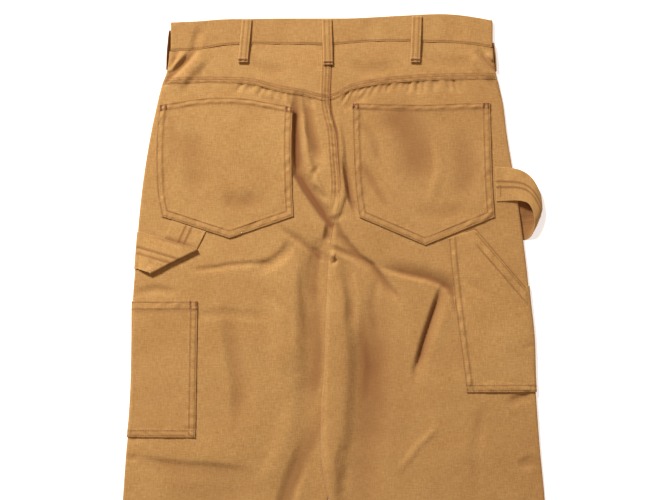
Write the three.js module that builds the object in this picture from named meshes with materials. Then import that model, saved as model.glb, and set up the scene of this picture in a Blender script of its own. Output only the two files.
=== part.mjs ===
// Duck canvas work pants, lying flat on their front with the back up.
// Millimetres. X runs across, Y up towards the waist and Z up from the floor.
// "down" is the distance below the middle of the waistband's top edge, so Y is minus down.
import * as THREE from 'three';

// Cloth and gaps
const CLOTH = 1.2;          // one wall of duck
const BAND_WALL = 1.5;      // waistband, two plies with interfacing
const LOOP_WALL = 1.6;      // belt loops, folded in three
const SEAM_GAP = 0.3;       // between two pieces at a seam
const LIE_GAP = 0.35;       // under a piece that lies on another
const AIR = 0.6;            // least air between the front and the back
const EDGE_RADIUS = 4;      // the back's roll at a side fold

// What lies under the front: loops, wrapped pockets and the waist button
const UNDERLAY = 1.6;
const UNDERLAY_END = 590;
const UNDERLAY_GONE = 660;
const BUTTON = { radius: 8.5, thick: 2.7, down: 34, rise: 1.5, spread: 34 };

// The right leg's inner edge lies over the left leg's
const LAP_RISE = 2 * CLOTH + AIR + 0.5;
const LAP_START = 300;
const LAP_FULL = 345;
const LAP_FADE = 660;
const LAP_GONE = 720;
const LAP_SLOPE = 16;       // how far across the right leg comes down again
const LAP_CLEAR = 3;        // how far past the left leg's edge it starts to come down
const LAP_OVER = 4;         // and at least this far past its own edge
const TUCK = { start: 42, end: 7 };  // where the left leg thins out before the right leg's edge
const SPLIT = { start: 275, end: 350 };  // from one seat to two legs
const CROTCH = 329;
const HEM = 1115;
const HEM_TURN = 22;        // depth of the turned hem
const HEM_STEP = 0.7;       // how much thicker the hem is
const SEAT_BAND = 12;       // width of the felled seat seam
const SEAT_STEP = 0.7;
const YOKE_MIDDLE = 96;     // how far down the yoke seam is, on average
const YOKE_STEP = 0.5;
const FOLD_LEAST = 15;      // no fold is narrower here than the panels' grid
const COVER = 8;            // how far round a point a patch clears the panel
const COLUMNS = 12;         // of a back panel and of a yoke
const ROLL = [0.17, 0.33, 0.5].map((part) => part * Math.PI);
const WRAP = [0.5, 0.72, 1].map((part) => part * Math.PI);
const SOFT_EDGE = 0.3;      // how much a thick edge is rounded
const SEAM_FADE = 20;       // how fast the seat seam's band ends at the crotch
const YOKE_FADE = 160;      // how fast the rows straighten below the yoke seam
const WAIST_FADE = 60;      // and below the waist of the front
const INNER_ROLL = 1.5;     // roll at the seat seam, where the panels meet

// Side edges of the whole garment
const SIDES = [
  { down: 0, left: -220.5, right: 214.5 },
  { down: 40, left: -222, right: 215.3 },
  { down: 72, left: -226, right: 218.5 },
  { down: 90, left: -232.5, right: 222.8 },
  { down: 116, left: -239, right: 228.5 },
  { down: 160, left: -248.3, right: 234 },
  { down: 216, left: -257.4, right: 243.3 },
  { down: 268, left: -263.3, right: 251.5 },
  { down: 339, left: -268.9, right: 260.5 },
  { down: 382, left: -272, right: 264.8 },
  { down: 432, left: -272.6, right: 270 },
  { down: 487, left: -273.5, right: 271.8 },
  { down: 536, left: -276, right: 274.9 },
  { down: 587, left: -281, right: 278.8 },
  { down: 636, left: -284.6, right: 283.7 },
  { down: 700, left: -289, right: 289 },
  { down: 800, left: -296, right: 297 },
  { down: 950, left: -305, right: 308 },
  { down: HEM, left: -311, right: 315 },
];

// Edges that face each other: the seat seam as one line, then the inner edges of the legs
const INNER = [
  { down: 30, left: -4.5, right: -4.5 },
  { down: 66, left: -4.3, right: -4.3 },
  { down: 116, left: -5.2, right: -5.2 },
  { down: 151, left: 2.5, right: 2.5 },
  { down: 188, left: 5.4, right: 5.4 },
  { down: 225, left: 8, right: 8 },
  { down: 252, left: 6, right: 6 },
  { down: 278, left: -0.5, right: -0.5 },
  { down: 306, left: -5, right: -5 },
  { down: LAP_FULL, left: -5, right: -5 },
  { down: 370, left: 4, right: -9 },
  { down: 400, left: 10, right: -11.5 },
  { down: 474, left: 13, right: -13.5 },
  { down: 530, left: 10, right: -18 },
  { down: 586, left: 6, right: -17.6 },
  { down: 640, left: -5, right: -10 },
  { down: 700, left: -20, right: 8 },
  { down: 800, left: -37, right: 32 },
  { down: 950, left: -58, right: 58 },
  { down: HEM, left: -79, right: 83 },
];

// Lines that run across: the waistband's two edges and the yoke seam
const ACROSS = [
  { x: -232, top: 6, waist: 45, yoke: 90 },
  { x: -184, top: 4, waist: 42.5, yoke: 87.8 },
  { x: -150, top: 1.4, waist: 37, yoke: 88 },
  { x: -111, top: 0.8, waist: 35, yoke: 90 },
  { x: -76, top: 0.4, waist: 35.2, yoke: 99 },
  { x: -42, top: 0.4, waist: 35.6, yoke: 105 },
  { x: -6, top: 0.4, waist: 36.2, yoke: 112 },
  { x: 22, top: 0.2, waist: 34, yoke: 98 },
  { x: 55, top: -1.4, waist: 31.6, yoke: 91 },
  { x: 90, top: -3.4, waist: 31.6, yoke: 87 },
  { x: 143, top: -5.7, waist: 33, yoke: 83.6 },
  { x: 177, top: -3.4, waist: 34.4, yoke: 83 },
  { x: 228, top: 5.4, waist: 42, yoke: 83 },
];

// How far the cloth stands above the least height: over the seat, and over each leg
const PUFF = [
  { down: 30, seat: 0.6, leg: 0.6 },
  { down: 60, seat: 1.8, leg: 1.8 },
  { down: 90, seat: 3.4, leg: 3.4 },
  { down: 200, seat: 5.6, leg: 5.6 },
  { down: 320, seat: 5.6, leg: 5.8 },
  { down: 480, seat: 5.6, leg: 5.8 },
  { down: 650, seat: 4.4, leg: 4.8 },
  { down: 800, seat: 3, leg: 3.2 },
  { down: 1000, seat: 2, leg: 2.4 },
  { down: HEM, seat: 1.4, leg: 1.6 },
];

// Largest folds of the back: a route, how deep (minus) or high (plus), and half its width
const FOLDS = [
  {
    name: 'beside left pocket',
    deep: -4,
    wide: 12,
    route: [[-45, 118], [-45, 175], [-43, 211], [-24, 247], [-6, 282]],
  },
  {
    name: 'seat ridge',
    deep: 1.6,
    wide: 10,
    route: [[-31, 120], [-27, 180], [-14, 222]],
  },
  {
    name: 'beside seat seam',
    deep: -2,
    wide: 9,
    route: [[15, 190], [20, 225], [27, 258]],
  },
  {
    name: 'right seat sweep',
    deep: -3,
    wide: 11,
    route: [[12, 283], [33, 313], [61, 338], [78, 360], [89, 378]],
  },
  {
    name: 'right seat short',
    deep: -1.6,
    wide: 8,
    route: [[3, 312], [33, 327]],
  },
  {
    name: 'to the right tool pocket',
    deep: -2.6,
    wide: 9,
    route: [[70, 340], [110, 350], [148, 362]],
  },
  {
    name: 'sharp right',
    deep: -3.6,
    wide: 9,
    route: [[144, 366], [124, 425], [110, 476]],
  },
  {
    name: 'left seat to crotch',
    deep: -2.4,
    wide: 10,
    route: [[-86, 285], [-60, 292], [-31, 317], [-8, 336]],
  },
  {
    name: 'left seat long',
    deep: -2.6,
    wide: 11,
    route: [[-186, 341], [-142, 334], [-92, 331], [-66, 319], [-56, 300]],
  },
  {
    name: 'left leg soft',
    deep: -1.9,
    wide: 18,
    route: [[-147, 412], [-130, 472], [-126, 545]],
  },
  {
    name: 'valley under crotch',
    deep: -3.2,
    wide: 16,
    route: [[-24, 334], [-29, 358], [-36, 408], [-26, 480]],
  },
  {
    name: 'left leg streak',
    deep: -2.4,
    wide: 13,
    route: [[-33, 545], [-53, 605], [-64, 660]],
  },
  {
    name: 'right leg valley',
    deep: -3,
    wide: 34,
    route: [[26, 375], [34, 480], [18, 600], [30, 690]],
  },
  {
    name: 'right leg edge',
    deep: 2.6,
    wide: 15,
    route: [[-1, 322], [-4, 385], [-6, 474], [-9, 540], [-8, 610], [8, 690]],
  },
  {
    name: 'left hip',
    deep: -2,
    wide: 9,
    route: [[-188, 46], [-226, 84]],
  },
  {
    name: 'left shin',
    deep: -1.2,
    wide: 16,
    route: [[-262, 600], [-200, 602], [-140, 610]],
  },
  {
    name: 'left knee',
    deep: -1.8,
    wide: 18,
    route: [[-250, 716], [-180, 742], [-96, 730]],
  },
  {
    name: 'left calf',
    deep: -1.2,
    wide: 18,
    route: [[-130, 820], [-170, 900], [-182, 1000]],
  },
  {
    name: 'right knee',
    deep: -1.8,
    wide: 18,
    route: [[262, 742], [190, 720], [118, 748]],
  },
  {
    name: 'right calf',
    deep: -1.3,
    wide: 18,
    route: [[150, 830], [190, 910], [206, 1010]],
  },
];

// Back pockets: top edge, sides and pointed bottom
const BACK_POCKETS = {
  left: {
    top: [
      { x: -234, down: 116.5 },
      { x: -173, down: 108 },
      { x: -124, down: 108 },
      { x: -90, down: 113.5 },
      { x: -55.5, down: 120 },
    ],
    sides: [
      { down: 110, left: -234, right: -55.5 },
      { down: 165, left: -240, right: -57.5 },
      { down: 235, left: -238.5, right: -56.5 },
      { down: 267, left: -233, right: -54.7 },
    ],
    point: { x: -141, down: 297 },
    corner: 267.5,
  },
  right: {
    top: [
      { x: 24.3, down: 115 },
      { x: 81, down: 116 },
      { x: 126, down: 116.6 },
      { x: 162, down: 115 },
      { x: 210.6, down: 114 },
    ],
    sides: [
      { down: 110, left: 24.3, right: 210.6 },
      { down: 170, left: 25.7, right: 212 },
      { down: 229, left: 28.4, right: 214 },
      { down: 269, left: 33.8, right: 216.8 },
    ],
    point: { x: 123, down: 306.5 },
    corner: 268.5,
  },
};

// Tool pockets, each wrapped round its side edge and flat under the front
const TOOL_LEFT = {
  top: 382,
  bottom: 566,
  inner: [{ down: 382, x: -184 }, { down: 566, x: -187 }],
  under: 45,
};
const TOOL_RIGHT = {
  inner: [
    { down: 290, x: 153.5 },
    { down: 327, x: 156.6 },
    { down: 367, x: 160.7 },
    { down: 421, x: 167.4 },
    { down: 506, x: 179 },
  ],
  shoulder: { x: 190, down: 285.5 },
  mouth: { x: 263.5, down: 371 },
  seat: { x: 153.5, down: 297.5 },
  bottom: 505,
  under: 40,
};

// Hammer loops. The right one has a row for each station: its two edges, and how far its middle bows out.
// A height of null means that the strap lies on the panel there.
const FOLD_RADIUS = 2.2;
const HAMMER_LEFT = {
  sewn: { a: [-218.7, 273], b: [-172.8, 288] },
  crease: { a: [-248.4, 345.6], b: [-183.6, 313.2] },
  side: { a: 338.9, b: 288.9 },
  under: 30,
};
const HAMMER_RIGHT = [
  { ax: 217.6, ad: 201, az: null, bx: 219, bd: 247.7, bz: null, bow: 0 },
  { ax: 228, ad: 201.3, az: null, bx: 230, bd: 247.2, bz: null, bow: 0 },
  { ax: 240, ad: 202.5, az: 8.4, bx: 243, bd: 246.6, bz: 8, bow: 0 },
  { ax: 251, ad: 205, az: 9.2, bx: 254, bd: 247.4, bz: 10.2, bow: 0 },
  { ax: 262, ad: 211, az: 9.2, bx: 262.5, bd: 251, bz: 11.6, bow: 0.5 },
  { ax: 271, ad: 221, az: 8.4, bx: 267.5, bd: 260, bz: 12.4, bow: 2 },
  { ax: 277, ad: 233, az: 7, bx: 270, bd: 271, bz: 12, bow: 4 },
  { ax: 279.5, ad: 240, az: 5.2, bx: 270.5, bd: 281, bz: 9.6, bow: 5 },
  { ax: 278, ad: 244.5, az: 3.2, bx: 268, bd: 290, bz: 6.4, bow: 5 },
  { ax: 273, ad: 246.5, az: 1.8, bx: 265, bd: 296, bz: 2.8, bow: 3 },
  { ax: 264, ad: 246.5, az: 0.8, bx: 259.5, bd: 299.5, bz: 0.8, bow: 0.5 },
  { ax: 250, ad: 246.5, az: 0.6, bx: 250, bd: 300.5, bz: 0.6, bow: 0 },
  { ax: 226, ad: 247.5, az: 0.6, bx: 222, bd: 301.5, bz: 0.6, bow: 0 },
];

// Belt loops
const LOOP_WIDTH = 13.5;
const LOOP_ARCH = 1.4;
const BACK_LOOPS = [
  { name: 'left', topX: -117.5, footX: -123, top: 1.8, foot: 60 },
  { name: 'centre', topX: -9.8, footX: -8, top: 1.4, foot: 63.5 },
  { name: 'right', topX: 112, footX: 109.5, top: -2.6, foot: 60 },
];
const SIDE_LOOPS = [
  { name: 'left', sign: -1, top: 16, foot: 70, stand: 2.2 },
  { name: 'right', sign: 1, top: 33, foot: 72, stand: 1.2 },
];
const SIDE_LOOP_HIGH = 5.6;
const SIDE_LOOP_UNDER = 8;
const FRONT_LOOPS = [
  { name: 'left', x: -98, top: 10, foot: 68 },
  { name: 'right', x: 96, top: 10, foot: 68 },
];

// Front
const FRONT_DROP = 6;        // the front waist lies this much lower at the middle
const FRONT_SEAM = [{ down: 30, x: 0 }, { down: 200, x: -2 }, { down: LAP_FULL, x: -5 }];
const FRONT_WAIST_GAP = 1.4; // between the waistband and the front, whose columns don't match
// The air inside the band, its rise at the back, and the two heights where its place is read
const BAND = { gap: 1.1, puff: 0.8, middle: 20, level: 30 };
const ZIP = { width: 26, wall: 0.7, top: 52, bottom: 205, slider: 12, teeth: 3, row: 0.4, body: 0.9 };

const DUCK = { color: 0xb5874f, roughness: 0.92, metalness: 0 };
const BRASS = { color: 0x9c7a45, roughness: 0.4, metalness: 1 };

// Readers of tables
function sample(rows, key, column, at) {
  const last = rows.length - 1;
  if (at <= rows[0][key]) return rows[0][column];
  if (at >= rows[last][key]) return rows[last][column];
  let i = 0;
  while (rows[i + 1][key] < at) i += 1;
  const slope = (k) => {
    const before = rows[Math.max(0, k - 1)];
    const after = rows[Math.min(last, k + 1)];
    return (after[column] - before[column]) / (after[key] - before[key]);
  };
  const span = rows[i + 1][key] - rows[i][key];
  const t = (at - rows[i][key]) / span;
  const straight = THREE.MathUtils.lerp(rows[i][column], rows[i + 1][column], t);
  const bend = t * (1 - t) * span;
  const chord = (rows[i + 1][column] - rows[i][column]) / span;
  return straight + bend * ((1 - t) * (slope(i) - chord) - t * (slope(i + 1) - chord));
}

const { lerp, clamp, smoothstep } = THREE.MathUtils;
const ramp = (at, from, to) => clamp((at - from) / (to - from), 0, 1);
const side = (name, down) => sample(SIDES, 'down', name, down);
const inner = (name, down) => sample(INNER, 'down', name, down);
const across = (line, x) => sample(ACROSS, 'x', line, x);

// Heights
function underlay(x, down) {
  const bump = Math.exp(-(x * x + (down - BUTTON.down) ** 2) / (2 * BUTTON.spread ** 2));
  return UNDERLAY * (1 - ramp(down, UNDERLAY_END, UNDERLAY_GONE)) + BUTTON.rise * bump;
}

const lapEdge = (down) => Math.max(inner('left', down), inner('right', down) + LAP_OVER) + LAP_CLEAR;

function lap(leg, x, down) {
  if (leg === 'left') return 0;
  const along = ramp(down, LAP_START, LAP_FULL) * (1 - ramp(down, LAP_FADE, LAP_GONE));
  const edge = lapEdge(down);
  return LAP_RISE * along * (1 - ramp(x, edge, edge + LAP_SLOPE));
}

function nearRoute(route, x, down) {
  let best = { gap: Infinity, along: 0 };
  let walked = 0;
  for (let i = 0; i < route.length - 1; i += 1) {
    const [x0, d0] = route[i];
    const [x1, d1] = route[i + 1];
    const length = Math.hypot(x1 - x0, d1 - d0);
    const t = clamp(((x - x0) * (x1 - x0) + (down - d0) * (d1 - d0)) / (length * length), 0, 1);
    const gap = Math.hypot(x - lerp(x0, x1, t), down - lerp(d0, d1, t));
    if (gap < best.gap) best = { gap, along: walked + t * length };
    walked += length;
  }
  return { gap: best.gap, along: best.along / walked };
}

function folds(x, down) {
  let height = 0;
  for (const fold of FOLDS) {
    const { gap, along } = nearRoute(fold.route, x, down);
    const q = gap / Math.max(fold.wide, FOLD_LEAST);
    if (q >= 1) continue;
    const ends = smoothstep(along, -0.15, 0.3) * (1 - smoothstep(along, 0.7, 1.15));
    height += fold.deep * ends * (1 - q * q) ** 2;
  }
  return height;
}

function dome(x, from, to) {
  const s = clamp((x - from) / (to - from), 0, 1);
  return Math.sin(Math.PI * s) ** 0.7;
}

// Outer surface of the back
function backHeight(leg, x, down) {
  const least = underlay(x, down) + 2 * CLOTH + AIR + lap(leg, x, down);
  const seat = sample(PUFF, 'down', 'seat', down) * dome(x, side('left', down), side('right', down));
  const from = leg === 'left' ? side('left', down) : inner('right', down);
  const to = leg === 'left' ? inner('left', down) : side('right', down);
  let legPuff = sample(PUFF, 'down', 'leg', down) * dome(x, from, to);
  const split = smoothstep(down, SPLIT.start, SPLIT.end);
  let fold = folds(x, down);
  if (leg === 'left') {
    const overlap = 1 - smoothstep(down, LAP_FADE - 20, LAP_FADE + 20);
    const edge = inner('right', down);
    const tuck = lerp(1, 1 - smoothstep(x, edge - TUCK.start, edge - TUCK.end), overlap);
    legPuff *= tuck;
    if (down > LAP_START) fold *= lerp(1, tuck, ramp(down, LAP_START, LAP_FULL));
  }
  return least + Math.max(0, lerp(seat, legPuff, split) + fold);
}

const frontTop = (leg, x, down) => underlay(x, down) + lap(leg, x, down) + CLOTH;

// A point of a section: x, z, and how far its outward side has turned from straight up
function panelRoll(leg, edge, down, angle, off = 0) {
  const sign = edge === 'left' ? -1 : 1;
  const outer = edge === leg;
  const x0 = outer ? side(edge, down) : inner(leg, down);
  const inside = x0 - sign * EDGE_RADIUS;
  const high = backHeight(leg, inside, down);
  const low = frontTop(leg, x0, down) + LIE_GAP;
  const x = inside + sign * (EDGE_RADIUS + off) * Math.sin(angle);
  const z = low + (high - low) * Math.cos(angle) + off * Math.cos(angle);
  return { x, z, turn: sign * angle };
}

// Wraps on from the roll, down past the front's edge and flat along the floor
function wrapUnder(edge, down, off, under) {
  const sign = edge === 'left' ? -1 : 1;
  const x0 = side(edge, down);
  const points = [];
  for (const angle of WRAP) {
    points.push({
      x: x0 + sign * off * Math.sin(angle),
      z: UNDERLAY * (1 + Math.cos(angle)),
      turn: sign * angle,
    });
  }
  points.push({ x: x0 - sign * under, z: 0, turn: sign * Math.PI });
  return points;
}

// Solids
function closedWall(outer, inside) {
  const rows = outer.length;
  const cols = outer[0].length;
  const positions = [];
  for (const sheet of [outer, inside]) {
    for (const row of sheet) for (const p of row) positions.push(p.x, p.y, p.z);
  }
  const at = (r, c) => r * cols + c;
  const back = rows * cols;
  const index = [];
  for (let r = 0; r < rows - 1; r += 1) {
    for (let c = 0; c < cols - 1; c += 1) {
      const [a, b, d, e] = [at(r, c), at(r, c + 1), at(r + 1, c), at(r + 1, c + 1)];
      index.push(a, d, e, a, e, b);
      index.push(back + a, back + e, back + d, back + a, back + b, back + e);
    }
  }
  const rim = [];
  for (let r = 0; r < rows - 1; r += 1) rim.push(at(r, 0));
  for (let c = 0; c < cols - 1; c += 1) rim.push(at(rows - 1, c));
  for (let r = rows - 1; r > 0; r -= 1) rim.push(at(r, cols - 1));
  for (let c = cols - 1; c > 0; c -= 1) rim.push(at(0, c));
  rim.forEach((p, i) => {
    const q = rim[(i + 1) % rim.length];
    index.push(q, p, back + p, q, back + p, back + q);
  });
  const geometry = new THREE.BufferGeometry();
  geometry.setAttribute('position', new THREE.Float32BufferAttribute(positions, 3));
  geometry.setIndex(index);
  geometry.computeVertexNormals();
  return geometry;
}

// Sections are rows of points with a down value; the wall grows inwards from them
function fromSections(sections, wall) {
  const outer = [];
  const inside = [];
  for (const section of sections) {
    outer.push(section.map((p) => new THREE.Vector3(p.x, -p.down, p.z)));
    inside.push(section.map((p) => {
      const thick = p.wall ?? wall;
      return new THREE.Vector3(p.x - thick * Math.sin(p.turn), -p.down, p.z - thick * Math.cos(p.turn));
    }));
  }
  return closedWall(outer, inside);
}

// A strap round its middle surface, for one that turns every way
function fromMiddle(middle, wall) {
  const outer = [];
  const inside = [];
  const last = middle.length - 1;
  middle.forEach((row, r) => {
    const outerRow = [];
    const insideRow = [];
    row.forEach((p, c) => {
      const alongRows = middle[Math.min(last, r + 1)][c].clone().sub(middle[Math.max(0, r - 1)][c]);
      const alongCols = row[Math.min(row.length - 1, c + 1)].clone().sub(row[Math.max(0, c - 1)]);
      const normal = alongRows.cross(alongCols).normalize().multiplyScalar(wall / 2);
      outerRow.push(p.clone().add(normal));
      insideRow.push(p.clone().sub(normal));
    });
    outer.push(outerRow);
    inside.push(insideRow);
  });
  return closedWall(outer, inside);
}

const garment = new THREE.Group();

function add(name, geometry, finish = DUCK) {
  const mesh = new THREE.Mesh(geometry, new THREE.MeshStandardMaterial(finish));
  mesh.name = name;
  garment.add(mesh);
  return mesh;
}

// Down values of the panels' rows: close together where the folds are
function panelRows() {
  const rows = [0, 14, 32, 50, 68, 86, 104, 122, 140, 158, 176, 190, 204].map((step) => YOKE_MIDDLE + step);
  for (let down = 315; down < LAP_FULL; down += 15) rows.push(down);
  for (let down = LAP_FULL; down < UNDERLAY_END - 10; down += 20.4) rows.push(down);
  rows.push(UNDERLAY_END, 612, 636, UNDERLAY_GONE, 690, LAP_GONE, 770, 830, 890, 960, 1030);
  rows.push(HEM - HEM_TURN - 1, HEM - HEM_TURN, HEM);
  return rows;
}

// Back panels, from the yoke seam to the hem
function backPanel(leg) {
  const rows = panelRows();
  const start = rows[0];
  const sections = rows.map((row) => {
    const section = [];
    const place = (x, make) => {
      const fade = clamp(1 - (row - start) / YOKE_FADE, 0, 1) ** 2;
      const down = row + (across('yoke', x) + SEAM_GAP / 2 - start) * fade;
      section.push({ ...make(down), down });
    };
    const curl = smoothstep(row, CROTCH - 8, LAP_FULL);
    const hemStep = row >= HEM - HEM_TURN ? HEM_STEP : 0;
    const outerX = side(leg, row);
    const sign = leg === 'left' ? -1 : 1;
    const seamX = inner(leg, row) + sign * (SEAM_GAP / 2);
    const innerRoll = lerp(INNER_ROLL, EDGE_RADIUS, curl);
    const band = leg === 'left' ? SEAT_BAND : innerRoll + 8;
    const flat = (x) => (down) => {
      const onBand = leg === 'left' && x > seamX - SEAT_BAND + 0.5;
      const seatStep = SEAT_STEP * (1 - ramp(row, LAP_START - SEAM_FADE, LAP_START + SEAM_FADE));
      const step = hemStep + (onBand ? seatStep : 0);
      return { x, z: backHeight(leg, x, down) + step, turn: 0 };
    };
    const outerRoll = (angle) => (down) => {
      const p = panelRoll(leg, leg, down, angle);
      return { ...p, z: p.z + hemStep * Math.cos(angle) };
    };
    const innerEdge = (k) => (down) => {
      const angle = ROLL[k];
      const rolled = panelRoll(leg, leg === 'left' ? 'right' : 'left', down, angle);
      const x = seamX + sign * innerRoll * (1 - lerp((k + 1) / 3, Math.sin(angle), curl));
      const flatZ = flat(x)(down).z;
      return { x, z: lerp(flatZ, rolled.z, curl), turn: rolled.turn * curl };
    };
    const inX = seamX + sign * innerRoll;
    const bandX = seamX + sign * band;
    const stepX = bandX + sign;
    const outX = outerX - sign * EDGE_RADIUS;
    for (const angle of [...ROLL].reverse()) place(outerX, outerRoll(angle));
    for (let i = 0; i <= COLUMNS; i += 1) {
      const x = lerp(outX, stepX, i / COLUMNS);
      place(x, flat(x));
    }
    place(bandX, flat(bandX - sign * 0.6));
    section[section.length - 1].x = bandX;
    place(inX, flat(inX));
    ROLL.forEach((angle, k) => place(seamX, innerEdge(k)));
    return leg === 'left' ? section : section.reverse();
  });
  return fromSections(sections, CLOTH);
}

// Yokes, between the waistband and the yoke seam
function yoke(leg) {
  const sign = leg === 'left' ? -1 : 1;
  const steps = [0, 0.2, 0.42, 0.64, 0.8, 0.815, 1];
  const sections = steps.map((t) => {
    const section = [];
    const downAt = (x) => lerp(across('waist', x) + SEAM_GAP, across('yoke', x) - SEAM_GAP / 2, t);
    const onBand = t > 0.81 ? YOKE_STEP : 0;
    const guess = lerp(40, 90, t);
    for (const angle of [...ROLL].reverse()) {
      const down = downAt(side(leg, guess));
      section.push({ ...panelRoll(leg, leg, down, angle), down });
    }
    const outX = side(leg, downAt(side(leg, guess))) - sign * EDGE_RADIUS;
    const seamX = inner(leg, lerp(36, YOKE_MIDDLE, t)) + sign * (SEAM_GAP / 2);
    const bandX = seamX + sign * (leg === 'left' ? SEAT_BAND : 9.5);
    for (let i = 0; i <= COLUMNS; i += 1) {
      const x = lerp(outX, bandX + sign, i / COLUMNS);
      const down = downAt(x);
      section.push({ x, z: backHeight(leg, x, down) + onBand, turn: 0, down });
    }
    for (const x of [bandX, seamX]) {
      const down = downAt(x);
      const step = leg === 'left' ? Math.max(onBand, SEAT_STEP) : onBand;
      section.push({ x, z: backHeight(leg, x, down) + step, turn: 0, down });
    }
    return leg === 'left' ? section : section.reverse();
  });
  return fromSections(sections, CLOTH);
}

// Front panels lie underneath: their outer side faces the floor
function frontPanel(leg) {
  const rows = [52, 62, 72, 81, 90, 102, 116, 138, 160, 200, 240, 270];
  rows.push(LAP_START, 315, 330, LAP_FULL, 370, 400);
  rows.push(440, 474, 500, 530, 560, UNDERLAY_END);
  rows.push(612, 636, UNDERLAY_GONE, 680, 700, LAP_GONE, 800, 880, 960);
  rows.push(HEM - HEM_TURN - 1, HEM - HEM_TURN, HEM);
  const sign = leg === 'left' ? -1 : 1;
  const sections = rows.map((row) => {
    const legs = ramp(row, LAP_FULL, LAP_FULL + 1);
    const seam = row > LAP_FULL ? inner(leg, row) : sample(FRONT_SEAM, 'down', 'x', row);
    const innerX = seam + sign * (SEAM_GAP / 2) * (1 - legs);
    const fade = clamp(1 - (row - rows[0]) / WAIST_FADE, 0, 1);
    const downAt = (x) => row + (across('waist', x) + frontDrop(x) + FRONT_WAIST_GAP - rows[0]) * fade;
    const outerX = side(leg, downAt(side(leg, row))) - sign * 0.2;
    const lapStart = Math.max(lapEdge(row), innerX + 5);
    const overLap = [innerX, lapStart, lapStart + LAP_SLOPE];
    const near = leg === 'right' ? overLap : [innerX, innerX - 12, innerX - 30];
    const xs = [...near];
    for (let i = 1; i <= 4; i += 1) xs.push(lerp(near[2], outerX, i / 4));
    const section = xs.map((x) => {
      const down = downAt(x);
      return { x, z: underlay(x, down) + lap(leg, x, down), turn: Math.PI, down };
    });
    return leg === 'left' ? section : section.reverse();
  });
  return fromSections(sections, CLOTH);
}

// How much lower the waist runs on the front
const frontDrop = (x) => FRONT_DROP * Math.cos(Math.PI * clamp(x / 440, -0.5, 0.5)) ** 2;

// Waistband: one strip from the middle of the front, round the back and to the front again
function waistband() {
  const halfTurn = [0.12, 0.3, 0.5, 0.7, 0.88].map((part) => part * Math.PI);
  const turnRadius = BAND_WALL + BAND.gap / 2;
  const steps = [0, 0.03, 0.5, 0.97, 1];
  const leftX = side('left', BAND.middle) + turnRadius + 0.4;
  const rightX = side('right', BAND.middle) - turnRadius - 0.4;
  const frontZ = (x) => underlay(x, BAND.level);
  const backRise = (x) => BAND.puff * dome(x, side('left', BAND.middle), side('right', BAND.middle));
  const sections = steps.map((t) => {
    const soft = t === 0 || t === 1 ? SOFT_EDGE : 0;
    const section = [];
    const push = (x, z, turn, low) => {
      section.push({
        x: x - soft * Math.sin(turn),
        z: z - soft * Math.cos(turn),
        turn,
        down: lerp(across('top', x), across('waist', x), t) + low,
        wall: BAND_WALL - 2 * soft,
      });
    };
    for (const x of [-0.4, -24, -60, -110, -160, leftX]) push(x, frontZ(x), -Math.PI, frontDrop(x));
    for (const angle of [...halfTurn].reverse()) {
      const z = frontZ(leftX) + turnRadius * (1 + Math.cos(angle));
      push(leftX - turnRadius * Math.sin(angle), z, -angle, 0);
    }
    for (let i = 0; i <= 20; i += 1) {
      const x = lerp(leftX, rightX, i / 20);
      push(x, frontZ(x) + 2 * BAND_WALL + BAND.gap + backRise(x), 0, 0);
    }
    for (const angle of halfTurn) {
      const z = frontZ(rightX) + turnRadius * (1 + Math.cos(angle));
      push(rightX + turnRadius * Math.sin(angle), z, angle, 0);
    }
    for (const x of [rightX, 160, 110, 60, 24, 0.4]) push(x, frontZ(x), Math.PI, frontDrop(x));
    return section;
  });
  return fromSections(sections, BAND_WALL);
}

// A patch on the back, made from the panel's points moved out, over the highest point near by
function coverHeight(leg, x, down) {
  const near = [[0, 0], [-COVER, 0], [COVER, 0], [0, -COVER], [0, COVER]];
  return Math.max(...near.map(([dx, dd]) => backHeight(leg, x + dx, down + dd)));
}

const onPanel = (leg, x, down) => ({ x, z: coverHeight(leg, x, down) + LIE_GAP + CLOTH, turn: 0, down });

function backPocket(leg) {
  const shape = BACK_POCKETS[leg];
  const columns = 10;
  const rows = 9;
  const bottom = (x, left, right) => {
    const { point, corner } = shape;
    const reach = x < point.x ? (x - left) / (point.x - left) : (right - x) / (right - point.x);
    return lerp(corner, point.down, clamp(reach, 0, 1));
  };
  const sections = [];
  for (let r = 0; r <= rows; r += 1) {
    const t = r / rows;
    const guess = lerp(shape.top[0].down, shape.corner, t);
    const left = sample(shape.sides, 'down', 'left', guess);
    const right = sample(shape.sides, 'down', 'right', guess);
    const section = [];
    for (let c = 0; c <= columns; c += 1) {
      const half = c / columns;
      const middle = shape.point.x;
      const x = half < 0.5 ? lerp(left, middle, half * 2) : lerp(middle, right, half * 2 - 1);
      const topDown = sample(shape.top, 'x', 'down', x);
      section.push(onPanel(leg, x, lerp(topDown, bottom(x, left, right), t)));
    }
    sections.push(section);
  }
  return fromSections(sections, CLOTH);
}

// One section of a tool pocket: across the back, round the side edge and under the front
function wrappedSection(leg, innerX, downAt, under) {
  const off = LIE_GAP + CLOTH;
  const sign = leg === 'left' ? -1 : 1;
  const edgeDown = downAt(side(leg, downAt(innerX)));
  const rollX = side(leg, edgeDown) - sign * EDGE_RADIUS;
  const section = [];
  const columns = 7;
  for (let i = 0; i <= columns; i += 1) {
    const x = lerp(innerX, rollX, i / columns);
    section.push(onPanel(leg, x, downAt(x)));
  }
  for (const angle of ROLL) section.push({ ...panelRoll(leg, leg, edgeDown, angle, off), down: edgeDown });
  for (const p of wrapUnder(leg, edgeDown, off, under)) section.push({ ...p, down: edgeDown });
  return leg === 'left' ? section.reverse() : section;
}

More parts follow.
